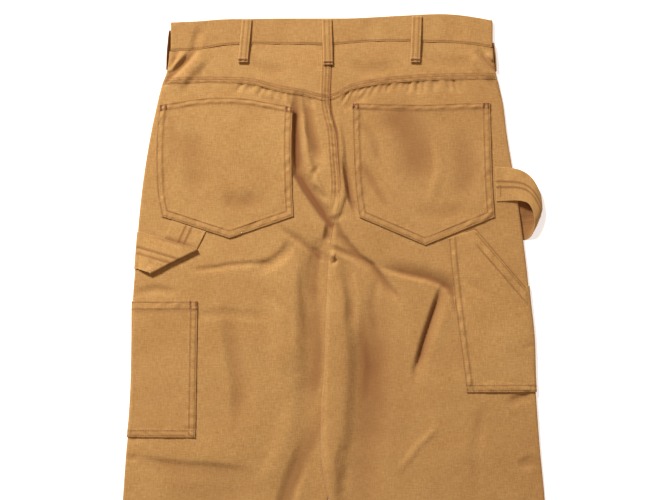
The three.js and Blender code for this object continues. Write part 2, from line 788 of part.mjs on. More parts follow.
function toolPocketLeft() {
  const rows = 11;
  const sections = [];
  for (let r = 0; r <= rows; r += 1) {
    const down = lerp(TOOL_LEFT.top, TOOL_LEFT.bottom, r / rows);
    const innerX = sample(TOOL_LEFT.inner, 'down', 'x', down);
    sections.push(wrappedSection('left', innerX, () => down, TOOL_LEFT.under));
  }
  return fromSections(sections, CLOTH);
}

function toolPocketRight() {
  const rows = 12;
  const { seat, shoulder, mouth, bottom } = TOOL_RIGHT;
  const topAt = (x) => {
    if (x < shoulder.x) {
      const along = clamp((x - seat.x) / (shoulder.x - seat.x), 0, 1);
      return lerp(seat.down, shoulder.down, along);
    }
    return lerp(shoulder.down, mouth.down, clamp((x - shoulder.x) / (mouth.x - shoulder.x), 0, 1));
  };
  const sections = [];
  for (let r = 0; r <= rows; r += 1) {
    const t = r / rows;
    const guess = lerp(seat.down, bottom, t);
    const innerX = sample(TOOL_RIGHT.inner, 'down', 'x', guess);
    const shift = innerX - seat.x;
    const downAt = (x) => lerp(topAt(lerp(x - shift, x, ramp(x, innerX, mouth.x))), bottom, t);
    sections.push(wrappedSection('right', innerX, downAt, TOOL_RIGHT.under));
  }
  return fromSections(sections, CLOTH);
}

// Hammer loop that is sewn under the pocket, folded over and wrapped round the left side
function hammerLoopLeft() {
  const { sewn, crease, under } = HAMMER_LEFT;
  const acrossSteps = [0, 1 / 3, 2 / 3, 1];
  const mid = LIE_GAP + CLOTH / 2;
  const line = [crease.b[0] - crease.a[0], crease.b[1] - crease.a[1]];
  const length = Math.hypot(...line);
  const outward = [-line[1] / length, line[0] / length];
  const stations = [];
  const put = (a, b, height) => {
    stations.push(acrossSteps.map((k) => {
      const x = lerp(a[0], b[0], k);
      const down = lerp(a[1], b[1], k);
      return new THREE.Vector3(x, -down, backHeight('left', x, down) + height(k));
    }));
  };
  const setBack = (point, by) => [point[0] - outward[0] * by, point[1] - outward[1] * by];
  const foldA = setBack(crease.a, FOLD_RADIUS);
  const foldB = setBack(crease.b, FOLD_RADIUS);
  for (const t of [0, 0.4, 0.8]) {
    const a = [lerp(sewn.a[0], foldA[0], t), lerp(sewn.a[1], foldA[1], t)];
    const b = [lerp(sewn.b[0], foldB[0], t), lerp(sewn.b[1], foldB[1], t)];
    put(a, b, () => mid);
  }
  for (const part of [0, 0.25, 0.5, 0.75, 1]) {
    const angle = part * Math.PI;
    const reach = -FOLD_RADIUS * Math.sin(angle);
    put(setBack(foldA, reach), setBack(foldB, reach), () => mid + FOLD_RADIUS * (1 - Math.cos(angle)));
  }
  const endA = [side('left', HAMMER_LEFT.side.a) + EDGE_RADIUS, HAMMER_LEFT.side.a];
  const endB = [side('left', HAMMER_LEFT.side.b) + EDGE_RADIUS, HAMMER_LEFT.side.b];
  for (const t of [0.3, 0.6, 1]) {
    const a = [lerp(foldA[0], endA[0], t), lerp(foldA[1], endA[1], t)];
    const b = [lerp(foldB[0], endB[0], t), lerp(foldB[1], endB[1], t)];
    put(a, b, () => mid + 2 * FOLD_RADIUS * (1 - t) ** 1.1);
  }
  const wrapped = (make) => {
    stations.push(acrossSteps.map((k) => {
      const down = lerp(HAMMER_LEFT.side.a, HAMMER_LEFT.side.b, k);
      const p = make(down);
      return new THREE.Vector3(p.x, -down, p.z);
    }));
  };
  for (const angle of ROLL) wrapped((down) => panelRoll('left', 'left', down, angle, mid));
  for (const part of [0.72, 1]) {
    wrapped((down) => {
      const angle = part * Math.PI;
      return {
        x: side('left', down) - mid * Math.sin(angle),
        z: UNDERLAY + (UNDERLAY - CLOTH / 2) * Math.cos(angle),
      };
    });
  }
  wrapped((down) => ({ x: side('left', down) + under, z: CLOTH / 2 }));
  return fromMiddle(stations, CLOTH);
}

// Hammer loop that curls out past the right side and comes back under the front
function hammerLoopRight() {
  const mid = LIE_GAP + CLOTH / 2;
  const stations = HAMMER_RIGHT.map((row) => {
    return [0, 0.25, 0.5, 0.75, 1].map((k) => {
      const x = lerp(row.ax, row.bx, k) + row.bow * 4 * k * (1 - k);
      const down = lerp(row.ad, row.bd, k);
      const z = row.az === null ? backHeight('right', x, down) + mid : lerp(row.az, row.bz, k);
      return new THREE.Vector3(x, -down, z);
    });
  });
  return fromMiddle(stations, CLOTH);
}

// Belt loops
function backLoop({ topX, footX, top, foot }) {
  const steps = [0, 0.1, 0.25, 0.42, 0.6, 0.78, 0.9, 1];
  const leg = topX < -20 ? 'left' : 'right';
  const bandTop = (x) => underlay(x, BAND.level) + 2 * BAND_WALL + BAND.gap + BAND.puff;
  const sections = steps.map((t) => {
    const down = lerp(top, foot, t);
    const middle = lerp(topX, footX, t);
    const overBand = 1 - smoothstep(t, 0.5, 0.75);
    const onYoke = Math.max(backHeight(leg, middle, down), backHeight('left', middle, down)) + SEAT_STEP;
    const base = lerp(onYoke, Math.max(onYoke, bandTop(middle)), overBand);
    const arch = LOOP_ARCH * Math.sin(Math.PI * t);
    const z = base + LIE_GAP + LOOP_WALL + arch;
    return [-0.5, -0.42, 0.42, 0.5].map((part) => {
      const soft = Math.abs(part) > 0.45 ? 0.4 : 0;
      return { x: middle + part * LOOP_WIDTH, z: z - soft, turn: 0, down, wall: LOOP_WALL - 2 * soft };
    });
  });
  return fromSections(sections, LOOP_WALL);
}

function sideLoop({ sign, top, foot, stand }) {
  const edge = sign < 0 ? 'left' : 'right';
  const steps = [0, 0.2, 0.5, 0.8, 1];
  const bandEdge = Math.abs(side(edge, BAND.level)) + 0.2;
  const upright = sign * Math.PI * 0.5;
  const sections = steps.map((t) => {
    const down = lerp(top, foot, t);
    const x0 = sign * Math.max(bandEdge, Math.abs(side(edge, down)));
    const off = LIE_GAP + CLOTH + stand * Math.sin(Math.PI * t);
    const section = [
      { x: x0 + sign * off, z: SIDE_LOOP_HIGH, turn: upright },
      { x: x0 + sign * off, z: SIDE_LOOP_HIGH - 2, turn: upright },
      { x: x0 + sign * off, z: UNDERLAY + 0.2, turn: upright },
      { x: x0 + sign * off * 0.77, z: 0.5, turn: sign * Math.PI * 0.72 },
      { x: x0, z: 0, turn: sign * Math.PI },
      { x: x0 - sign * SIDE_LOOP_UNDER, z: 0, turn: sign * Math.PI },
    ].map((p) => ({ ...p, down }));
    return sign < 0 ? section.reverse() : section;
  });
  return fromSections(sections, CLOTH);
}

function frontLoop({ x, top, foot }) {
  const steps = [0, 0.5, 1];
  const sections = steps.map((t) => {
    const down = lerp(top, foot, t);
    return [0.5, -0.5].map((part) => ({ x: x + part * LOOP_WIDTH, z: 0, turn: Math.PI, down }));
  });
  return fromSections(sections, CLOTH);
}

// Zip: its tape and closed row of teeth, lying on the inside of the front, and its slider
function flyZip() {
  const half = ZIP.width / 2;
  const { teeth, wall } = ZIP;
  const outline = [-half, -teeth, -teeth + 0.1, teeth - 0.1, teeth, half];
  const end = ZIP.slider / (ZIP.bottom - ZIP.top);
  const steps = [0, 0.04, end, end + 0.01, 0.5, 1];
  const sections = steps.map((t, i) => {
    const down = lerp(ZIP.top, ZIP.bottom, t);
    const seam = sample(FRONT_SEAM, 'down', 'x', down);
    const high = i === 1 || i === 2 ? ZIP.body : ZIP.row;
    return outline.map((off) => {
      const x = seam + off;
      const raised = Math.abs(off) < teeth - 0.05 ? high : 0;
      const z = frontTop('left', x, down) + LIE_GAP + wall + raised;
      return { x, z, turn: 0, down, wall: wall + raised };
    });
  });
  return fromSections(sections, wall);
}

function waistButton() {
  const { radius, thick } = BUTTON;
  const profile = [
    [0, 0.5],
    [radius - 3, 0.5],
    [radius - 2, 0],
    [radius - 0.6, 0],
    [radius, 0.6],
    [radius, thick - 0.8],
    [radius - 0.8, thick],
    [0, thick],
  ].map(([r, z]) => new THREE.Vector2(r, z));
  const geometry = new THREE.LatheGeometry(profile, 20);
  geometry.rotateX(Math.PI / 2);
  geometry.translate(0, -BUTTON.down, 0);
  return geometry;
}

for (const leg of ['left', 'right']) {
  add(`yoke_${leg}`, yoke(leg));
  add(`back_${leg}`, backPanel(leg));
  add(`front_${leg}`, frontPanel(leg));
  add(`back_pocket_${leg}`, backPocket(leg));
}
add('waistband', waistband());
add('tool_pocket_left', toolPocketLeft());
add('tool_pocket_right', toolPocketRight());
add('hammer_loop_left', hammerLoopLeft());
add('hammer_loop_right', hammerLoopRight());
for (const loop of BACK_LOOPS) add(`belt_loop_back_${loop.name}`, backLoop(loop));
for (const loop of SIDE_LOOPS) add(`belt_loop_side_${loop.name}`, sideLoop(loop));
for (const loop of FRONT_LOOPS) add(`belt_loop_front_${loop.name}`, frontLoop(loop));
add('fly_zip', flyZip());
add('waist_button', waistButton(), BRASS);

// The origin is the middle of the underside
const box = new THREE.Box3().setFromObject(garment);
const centre = box.getCenter(new THREE.Vector3());
garment.position.set(-centre.x, -centre.y, -box.min.z);
garment.updateMatrixWorld(true);

export default garment;
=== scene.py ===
"""Duck canvas work pants laid flat with the back up: cloth, folds, topstitching and fly."""

import math

import bpy
import numpy as np
from mathutils import Matrix, Vector


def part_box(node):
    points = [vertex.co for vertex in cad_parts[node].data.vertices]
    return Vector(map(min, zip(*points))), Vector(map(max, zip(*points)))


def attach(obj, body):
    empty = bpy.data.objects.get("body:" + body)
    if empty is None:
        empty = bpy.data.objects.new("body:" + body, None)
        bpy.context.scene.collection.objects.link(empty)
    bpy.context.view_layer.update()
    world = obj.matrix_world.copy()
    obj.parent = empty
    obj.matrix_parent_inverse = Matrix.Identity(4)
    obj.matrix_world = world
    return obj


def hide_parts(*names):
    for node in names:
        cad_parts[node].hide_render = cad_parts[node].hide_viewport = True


bl_info = {
    "name": "Duck canvas work pants",
    "version": (1, 0, 0),
    "blender": (4, 5, 0),
    "location": "View3D > Sidebar > Pants",
    "description": "Builds work pants in duck canvas, laid flat with the back up",
    "category": "Add Mesh",
}

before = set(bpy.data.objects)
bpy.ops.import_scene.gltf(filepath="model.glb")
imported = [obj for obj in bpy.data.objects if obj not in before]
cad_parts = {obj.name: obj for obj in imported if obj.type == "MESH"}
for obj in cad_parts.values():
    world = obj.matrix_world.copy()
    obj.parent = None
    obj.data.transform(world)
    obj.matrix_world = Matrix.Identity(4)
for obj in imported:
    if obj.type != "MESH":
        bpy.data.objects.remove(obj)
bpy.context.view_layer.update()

MM = 0.001
BODY = "root"

# Driving sizes in millimetres, the same as the solids'
CLOTH = 1.2
BAND_WALL = 1.5
LOOP_WALL = 1.6
SEAM_GAP = 0.3
LIE_GAP = 0.35
AIR = 0.6
EDGE_RADIUS = 4.0
UNDERLAY = 1.6
UNDERLAY_END = 590
UNDERLAY_GONE = 660
BUTTON_DOWN = 34
BUTTON_RISE = 1.5
BUTTON_SPREAD = 34
LAP_RISE = 2 * CLOTH + AIR + 0.5
LAP_START = 300
LAP_FULL = 345
LAP_FADE = 660
LAP_GONE = 720
LAP_SLOPE = 16
CROTCH = 329
HEM = 1115
HEM_TURN = 22
HEM_STEP = 0.7
SEAT_BAND = 12
SEAT_STEP = 0.7
SEAT_SHOWN = (228, 256)    # where the seat seam's rows dive under the fold
YOKE_BAND = 9
YOKE_STEP = 0.5
YOKE_MIDDLE = 96
BAND_GAP = 1.1
FRONT_DROP = 6
FRONT_WAIST_GAP = 1.4
BAND_DEEP = 37.0
LOOP_WIDTH = 13.5
STRAP_WIDE = 47.0
LOOP_ARCH = 1.4
FOLD_RADIUS = 2.2
YOKE_BLEND = 160           # how far below the yoke seam the rows still follow its curve

# Sewing
SHELL = 0.9             # a ply of duck, which is thinner than the solids' averaged wall
DOUBLE_ROWS = (1.5, 9.0)
TOP_ROWS = (1.4, 7.8)
SEAT_ROWS = (1.7, 6.2, 10.6)
YOKE_ROWS = (1.3, 4.7, 8.0)
FELL_STEP = 0.55        # how much a turned-in edge thickens a patch's border
FELL_WIDE = 10.4
GROOVE = 0.42           # how far a row of stitches sinks the cloth
GROOVE_WIDE = 0.85
STRAP_ROWS = (-3.8, 3.8)
LOOP_ROWS = (-3.2, 3.2)
HEM_ROW = 19.5
BAND_ROW = 1.7
HEM_ROWS = (1.6, 11.2)    # along the top of the square tool pocket

GROOVE_DEEP = 0.5         # how deep the line beside the seat seam is, on the right
GROOVE_SHADOW = 2.2         # how much painted shadow lies in that line
MOUTH_SHADE = 1.2          # and how much painted shade lies just above the slanted pocket's mouth
TACK_INSET = 8.4          # from a pocket's edge to its inner bartack
LOOP_TACK_UP = 3.6        # from a belt loop's foot to its bartack

# Gathers below the yoke seam: first one, how many, how far apart, and the seed of their draws
GATHERS = ((-124, 11, 9.2, 3), (20, 17, 9.4, 5))
# The cloth's unevenness: size, height and seed of each swing
UNEVEN = ((62, 0.55, 11), (30, 0.3, 12), (15, 0.13, 13))
FOLD_SHADE_FULL = 6           # how deep a fold is where its painted shade is full
FAR = 99                  # more than any distance that a seam's rows reach
ENDS_KEPT = 14.0          # how much of each end of a long grid keeps its spacing

# The grids' spacing
FINE = 2.3
COARSE = 7.5
EDGE_STEPS = (0, 0.15, 0.4, 0.8)
BORDER_STEPS = EDGE_STEPS + (1.5, 2.2, 3.4, 5.2, 6.9, 8.1, 9.0, 9.9, 10.8, 12.4)
SEAT_STEPS = (12.9, 12.3, 11.5, 10.6, 9.7, 8.4, 7.1, 6.2, 5.3, 4.1)
YOKE_STEPS = (0, 0.3, 0.7, 1.3, 2.1, 3.3, 4.0, 4.7, 5.5, 6.6, 7.3, 8.0, 8.7, 9.3, 10.4)
BAND_STEPS = EDGE_STEPS + (1.2, 1.7, 2.2, 3.0, 4.2)
POCKET_TOP_STEPS = EDGE_STEPS + (1.4, 2.2, 3.6, 5.4, 7.0, 7.8, 8.6, 9.4, 11)
TOOL_TOP_STEPS = EDGE_STEPS + (1.6, 2.6, 4.4, 6.4, 8.4, 9.4, 10.3, 11.2, 12.2, 13.4)
MOUTH_STEPS = (0, 0.3, 0.8, 1.6, 3.0, 4.4, 7, 10.5)
STRAP_EDGE_STEPS = (0, 0.15, 0.45, 0.9)
LOOP_STEPS = EDGE_STEPS + (1.4, 2.4, 3.4)

BACK_COLUMNS = 108
YOKE_LONG = 52.0
POCKET_WIDE = 180.0
POCKET_HIGH = 170.0
POINT_WARP = 14            # how many columns beside a pocket's point move over to it
TOOL_LEFT_WIDE = 84.0
TOOL_RIGHT_WIDE = 100.0
TOOL_RIGHT_HIGH = 200.0

# A cut's UV runs from 0 to 1 over this many metres
UV_SPAN = 1.4


def table(columns, *rows):
    """Rows with named columns."""
    names = columns.split()
    return [dict(zip(names, row)) for row in rows]


# Side edges of the whole garment
SIDES = table(
    "down left right",
    (0, -220.5, 214.5),
    (40, -222, 215.3),
    (72, -226, 218.5),
    (90, -232.5, 222.8),
    (116, -239, 228.5),
    (160, -248.3, 234),
    (216, -257.4, 243.3),
    (268, -263.3, 251.5),
    (339, -268.9, 260.5),
    (382, -272, 264.8),
    (432, -272.6, 270),
    (487, -273.5, 271.8),
    (536, -276, 274.9),
    (587, -281, 278.8),
    (636, -284.6, 283.7),
    (700, -289, 289),
    (800, -296, 297),
    (950, -305, 308),
    (HEM, -311, 315),
)

# The seat seam as one line, then the inner edges of the legs
INNER = table(
    "down left right",
    (30, -4.5, -4.5),
    (66, -4.3, -4.3),
    (116, -5.2, -5.2),
    (151, 2.5, 2.5),
    (188, 5.4, 5.4),
    (225, 8, 8),
    (252, 6, 6),
    (278, -0.5, -0.5),
    (306, -5, -5),
    (316, -5, -6.6),
    (LAP_FULL, -3, -8.6),
    (370, 4, -9.5),
    (400, 10, -11.5),
    (474, 13, -13.5),
    (530, 10, -18),
    (586, 6, -17.6),
    (640, -5, -10),
    (700, -20, 8),
    (800, -37, 32),
    (950, -58, 58),
    (HEM, -79, 83),
)

# Lines that run across: the waistband's two edges and the yoke seam
ACROSS = table(
    "x top waist yoke",
    (-232, 6, 45, 90),
    (-184, 4, 42.5, 87.8),
    (-150, 1.4, 37, 88),
    (-111, 0.8, 35, 90),
    (-76, 0.4, 35.2, 99),
    (-42, 0.4, 35.6, 105),
    (-6, 0.4, 36.2, 112),
    (22, 0.2, 34, 98),
    (55, -1.4, 31.6, 91),
    (90, -3.4, 31.6, 87),
    (143, -5.7, 33, 83.6),
    (177, -3.4, 34.4, 83),
    (228, 5.4, 42, 83),
)

PUFF = table(
    "down seat leg",
    (30, 0.6, 0.6),
    (60, 2.8, 2.8),
    (90, 4.4, 4.4),
    (200, 6, 6),
    (320, 6, 6.2),
    (480, 6, 6.2),
    (650, 4.6, 5),
    (800, 3, 3.2),
    (1000, 2, 2.4),
    (HEM, 1.4, 1.6),
)

# Main folds: how deep (minus) or high (plus), half the width left of or below the line, half the width
# right of or above it, how sharp the line is from 0 to 1, and its route
FOLDS = table(
    "deep low high crisp route",
    (-8.5, 5, 17, 0.3, ((-53, 108), (-53, 150), (-53, 180), (-49.5, 214))),
    (-7, 6, 16, 0.5, ((-50.5, 206), (-38, 233), (-25.5, 252), (-15, 267), (-5, 281))),
    (-4.4, 8, 6, 0, ((-3, 274), (-6, 288), (-9, 303))),
    (3, 7, 6, 0, ((-43, 116), (-42, 150), (-38, 182), (-29, 210), (-16, 236), (-6, 252))),
    (-5.4, 8, 11, 0.3, ((-40, 108), (-35, 131), (-31, 151), (-24, 178), (-19, 196))),
    (-2.4, 5, 5, 0.2, ((-28, 226), (-20, 236), (-8, 246))),
    (2.8, 7, 6, 0, ((4, 140), (9, 170), (12, 205), (12, 240), (6, 258), (0, 272))),
    (-5.5, 4, 8, 0.6, ((13, 192), (17.5, 219), (23, 246), (31, 266))),
    (-5.5, 12, 4.5, 0.7, ((2.7, 274), (12, 294), (23, 309), (35, 323), (52, 334), (65, 350), (76, 366),
                          (88, 379))),
    (-3, 6, 6, 0.4, ((-4, 310), (15, 318), (32, 324))),
    (-5.4, 6, 20, 0.85, ((66, 337), (82, 341.5), (102, 347), (123, 351), (143, 358), (156, 366), (164, 378),
                        (167, 394))),
    (-6.5, 4.5, 17, 0.9, ((144, 366), (133.7, 395.6), (120.8, 434.7), (113.4, 462), (108, 480))),
    (-2.8, 5, 8, 0.6, ((-72, 284), (-46, 302), (-29.7, 316), (-16, 324), (-4, 330))),
    (-1.9, 6, 4, 0.6, ((-190, 340), (-160.7, 337.5), (-144, 334), (-113, 331.5), (-88, 330))),
    (-2.6, 12, 8, 0.1, ((-104, 338), (-84, 330), (-68, 318), (-58, 302))),
    (-1.6, 6, 6, 0.2, ((-44, 344), (-40, 390), (-32, 440))),
    (-1.4, 7, 7, 0.2, ((40, 420), (44, 470), (40, 520))),
    (-2.8, 12, 24, 0.2, ((-147, 404), (-138, 445), (-130, 490), (-126, 552))),
    (4.2, 40, 22, 0, ((-54, 318), (-56, 360), (-58, 410), (-52, 480))),
    (-4.4, 12, 8, 0.1, ((-20, 308), (-24, 330), (-27, 356), (-28, 384))),
    (-4.2, 19, 11, 0, ((-22, 372), (-25, 408), (-21, 446), (-24, 482), (-34, 520))),
    (-4.2, 17, 13, 0, ((-18, 538), (-31, 570), (-45, 603), (-60, 640), (-74, 690))),
    (1.4, 16, 20, 0, ((-56, 530), (-68, 570), (-90, 630))),
    (5, 10, 50, 0.2, ((-2, 330), (-5, 385), (-7, 474), (-9, 540), (-6, 610), (8, 700))),
    (-2.6, 9, 10, 0, ((18, 336), (24, 380), (22, 420))),
    (-3.2, 32, 44, 0, ((46, 400), (42, 520), (33, 580), (28, 625), (28, 690))),
    (-2.2, 9, 12, 0, ((14, 574), (9, 602), (12, 634))),
    (-6, 6, 5, 0.3, ((-188, 44), (-204, 62), (-232, 88))),
    (4.4, 8, 7, 0, ((-200, 46), (-212, 62), (-226, 76))),
    (3.4, 14, 12, 0, ((-176, 50), (-190, 66), (-214, 92))),
    (-5, 4, 4, 0.3, ((-213, 50), (-224, 71))),
    (-5, 5, 5, 0.3, ((196, 46), (206, 57), (222, 73))),
    (3, 8, 8, 0, ((186, 50), (200, 68), (214, 84))),
    (3, 6, 6, 0, ((206, 48), (216, 62))),
    (-2, 24, 8, 0.3, ((-264, 594), (-240, 600), (-205, 605), (-170, 606), (-120, 612))),
    (-1.8, 16, 16, 0, ((-250, 716), (-180, 742), (-96, 730))),
    (-1.3, 18, 18, 0, ((-130, 820), (-170, 900), (-182, 1000))),
    (-1.8, 16, 16, 0, ((262, 742), (190, 720), (118, 748))),
    (-1.4, 18, 18, 0, ((150, 830), (190, 910), (206, 1010))),
)

# Small creases that only the dressed cloth shows
CREASES = table(
    "deep low high crisp route",
    (-1.8, 4, 4, 0.3, ((-20, 200), (-28, 210), (-31, 222))),
    (-4, 3.5, 6, 0.6, ((-55, 210), (-39, 232), (-26, 251), (-15, 267), (-6, 280))),
    (-4, 5, 5, 0, ((-0.4, 328), (1.2, 331))),
    (2.5, 6, 5, 0, ((-4, 318), (2, 321))),
    (-1.1, 5, 4, 0.2, ((-6, 272), (6, 270), (14, 263))),
    (-1.8, 5, 5, 0.3, ((-284, 558), (-272, 570), (-262, 566))),
    (-1.4, 5, 5, 0.3, ((-286, 586), (-274, 596), (-268, 592))),
    (-2.2, 10, 6, 0.3, ((238, 517), (252, 512), (268, 508))),
    (-1, 3.5, 3.5, 0.5, ((256, 447), (266, 443), (274, 444))),
    (-2, 9, 9, 0, ((252, 604), (268, 598), (280, 600))),
    (-1.6, 7, 7, 0.3, ((-270, 372), (-240, 366), (-215, 370))),
    (-0.9, 8, 8, 0, ((-90, 372), (-60, 400), (-58, 440))),
    (-1.3, 46, 60, 0, ((52, 376), (60, 440), (66, 520), (84, 610))),
    (-1.7, 40, 40, 0, ((-236, 646), (-170, 640), (-100, 626))),
    (1.1, 5, 6, 0.2, ((88, 612), (112, 580), (140, 552))),
    (-0.9, 9, 9, 0, ((-190, 404), (-150, 398), (-90, 404))),
    (-1, 7, 9, 0.2, ((150, 300), (170, 352), (214, 378))),
    (-0.5, 16, 30, 0, ((40, 380), (50, 440), (54, 500))),
    (-0.9, 10, 10, 0, ((200, 530), (190, 590), (196, 640))),
    (-1, 8, 8, 0, ((-250, 150), (-252, 210))),
    (-1, 7, 7, 0, ((60, 345), (52, 392), (58, 430))),
    (-1.4, 5, 6, 0.2, ((16, 122), (28, 112), (44, 106))),
    (-1.2, 5, 6, 0.2, ((-104, 108), (-84, 112), (-64, 124))),
    (-1, 10, 10, 0, ((-120, 60), (-90, 72), (-60, 70))),
    (-1.2, 10, 12, 0, ((20, 60), (40, 72), (84, 66))),
    (-0.8, 10, 10, 0, ((120, 52), (150, 62), (190, 58))),
)

# Soft dents of the waistband's back half
BAND_DENTS = table(
    "deep low high crisp route",
    (-2.2, 6, 10, 0.3, ((-181, 14), (-187, 30), (-190, 52))),
    (-0.8, 16, 16, 0, ((-60, -4), (-66, 20), (-62, 44))),
    (-0.8, 14, 14, 0, ((52, 2), (46, 22), (50, 40))),
    (-0.9, 18, 18, 0, ((160, -8), (166, 18), (160, 44))),
)

# Soft dents that a back pocket shares with the seat below it
POCKET_DENTS = table(
    "deep low high crisp route",
    (-1.2, 20, 30, 0, ((-190, 150), (-196, 196), (-182, 238))),
    (-0.7, 24, 30, 0, ((-116, 176), (-100, 225), (-112, 262))),
    (-1.3, 16, 18, 0, ((-150, 244), (-128, 250), (-104, 246))),
    (-0.9, 9, 12, 0, ((-222, 130), (-214, 170), (-222, 214))),
    (-1.9, 34, 44, 0, ((70, 120), (96, 146), (112, 184), (108, 226))),
    (-1.1, 20, 24, 0, ((170, 150), (178, 205), (168, 250))),
    (-1.4, 7, 8, 0.2, ((36, 140), (52, 162), (62, 196))),
    (-1.4, 7, 8, 0.2, ((40, 200), (56, 228), (76, 262))),
    (-0.9, 12, 16, 0, ((110, 262), (146, 268), (180, 258))),
    (0.9, 8, 9, 0, ((136, 160), (142, 205), (130, 246))),
)

BACK_POCKETS = {
    "left": {
        "top": table("x down", (-235.5, 117), (-173, 108), (-124, 108), (-90, 113.5), (-55.5, 120)),
        "sides": table("down left right", (110, -235.5, -55.5), (165, -240.3, -57.5), (235, -238.8, -56.5),
                       (267, -233, -54.7)),
        "point": (-141, 297),
        "corner": 267.5,
    },
    "right": {
        "top": table("x down", (24.3, 115), (81, 116), (126, 116.6), (162, 115), (210.6, 114)),
        "sides": table("down left right", (110, 24.3, 210.6), (170, 25.7, 212), (229, 28.4, 214),
                       (269, 33.8, 216.8)),
        "point": (123, 306.5),
        "corner": 268.5,
    },
}

TOOL_LEFT = {
    "top": 382,
    "bottom": 566,
    "inner": table("down x", (382, -184), (566, -187)),
    "under": 45,
}
TOOL_RIGHT = {
    "inner": table("down x", (290, 153.5), (327, 156.6), (367, 160.7), (421, 167.4), (506, 179)),
    "seat": (153.5, 297.5),
    "shoulder": (190, 285.5),
    "mouth": (263.5, 371),
    "bottom": 505,
    "under": 40,
}
MOUTH_ROWS = (3.0, 18.0)     # rows along the slanted mouth, measured straight down

HAMMER_LEFT = {
    "sewn": ((-218.7, 273), (-172.8, 288)),
    "crease": ((-248.4, 345.6), (-183.6, 313.2)),
    "side": (338.9, 288.9),
    "under": 30,
}
ON_PANEL = None
HAMMER_RIGHT = table(
    "ax ad az bx bd bz bow",
    (217.6, 201, ON_PANEL, 219, 247.7, ON_PANEL, 0),
    (228, 201.3, ON_PANEL, 230, 247.2, ON_PANEL, 0),
    (240, 202.5, 8.4, 243, 246.6, 8, 0),
    (251, 205, 9.2, 254, 247.4, 10.2, 0),
    (262, 211, 9.2, 262.5, 251, 11.6, 0.5),
    (271, 221, 8.4, 267.5, 260, 12.4, 2),
    (277, 233, 7, 270, 271, 12, 4),
    (279.5, 240, 5.2, 270.5, 281, 9.6, 5),
    (278, 244.5, 3.2, 268, 290, 6.4, 5),
    (273, 246.5, 1.8, 265, 296, 2.8, 3),
    (264, 246.5, 0.8, 259.5, 299.5, 0.8, 0.5),
    (250, 246.5, 0.6, 250, 300.5, 0.6, 0),
    (226, 247.5, 0.6, 222, 301.5, 0.6, 0),
)

BACK_LOOPS = table(
    "name topx footx top foot",
    ("left", -117.5, -123, 1.8, 60),
    ("centre", -9.8, -8, 1.4, 63.5),
    ("right", 112, 109.5, -2.6, 60),
)
SIDE_LOOPS = table("name side top foot stand", ("left", -1, 16, 70, 2.2), ("right", 1, 33, 72, 1.2))
FRONT_LOOPS = table("name x top foot", ("left", -98, 10, 68), ("right", 96, 10, 68))
FRONT_SEAM = table("down x", (30, 0), (200, -2), (LAP_FULL, -5))
ZIP = {
    "width": 26,
    "top": 52,
    "bottom": 205,
    "tape": 0.6,
    "tooth": (5.2, 1.1, 1.0),
    "pitch": 1.9,
    "first_tooth": 14,
    "slider": (8.5, 10, 1.6),
    "slider_down": 7,
}

# Painted shade for whole pieces: how much darker each piece is made than the palest ones, standing in for
# the tilt and fall-off of the light over it
PIECE_SHADE = {
    "waistband": 0.14,
    "yoke_left": 0.1,
    "yoke_right": 0.12,
    "back_left": 0.03,
    "back_right": 0.14,
    "back_pocket_right": 0.16,
    "tool_pocket_left": 0.11,
    "tool_pocket_right": 0.03,
}

# The photo's frame: its width in pixels, the real size of a pixel, and its middle
PHOTO_WIDE = 670
PIXEL = 1.35
VIEW_MIDDLE = (1.35, 313.2)
CAMERA_HIGH = 3200
LIGHTS = table(
    "name place size energy",
    ("key", (-1.95, 3.5, 2.45), 0.7, 298.0),
    ("fill", (0.8, 0.2, 2.8), 2.4, 7.0),
)
SKY = (1.0, 0.72, 0.55, 1.0)
SKY_STRENGTH = 0.27
LEGS = ("left", "right")

button_low, button_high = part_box("waist_button")
SHIFT_X = (button_low[0] + button_high[0]) / 2 / MM
SHIFT_Y = (button_low[1] + button_high[1]) / 2 / MM + BUTTON_DOWN

# What each piece leaves for the sewing: its points, and the lines of its grid
made = {}


def smoothstep(at, low, high):
    """From 0 at low to 1 at high, level at both."""
    t = np.clip((np.asarray(at, float) - low) / (high - low), 0, 1)
    return t * t * (3 - 2 * t)


def ramp(at, low, high):
    """From 0 at low to 1 at high, straight."""
    return np.clip((np.asarray(at, float) - low) / (high - low), 0, 1)


def mix(a, b, t):
    """a where t is 0 and b where it is 1, straight between them."""
    return a + (b - a) * t


def sample(rows, key, column, at):
    """A smooth value from a table, held at its first and last row."""
    keys = np.array([row[key] for row in rows], float)
    values = np.array([row[column] for row in rows], float)
    at = np.clip(np.asarray(at, float), keys[0], keys[-1])
    last = len(rows) - 1
    before = np.maximum(np.arange(last + 1) - 1, 0)
    after = np.minimum(np.arange(last + 1) + 1, last)
    slope = (values[after] - values[before]) / (keys[after] - keys[before])
    i = np.clip(np.searchsorted(keys, at, side="left") - 1, 0, last - 1)
    span = keys[i + 1] - keys[i]
    t = (at - keys[i]) / span
    chord = (values[i + 1] - values[i]) / span
    bend = t * (1 - t) * span
    curve = (1 - t) * (slope[i] - chord) - t * (slope[i + 1] - chord)
    return mix(values[i], values[i + 1], t) + bend * curve


def way(leg):
    """-1 for the left leg and 1 for the right."""
    return -1 if leg == "left" else 1


def side(name, down):
    """The garment's side edge on the left or the right."""
    return sample(SIDES, "down", name, down)


def inner(name, down):
    """A leg's inner edge: the seat seam, and the inseam below it."""
    return sample(INNER, "down", name, down)


def across(line, x):
    """How far down a line across the garment is, such as the yoke seam."""
    return sample(ACROSS, "x", line, x)


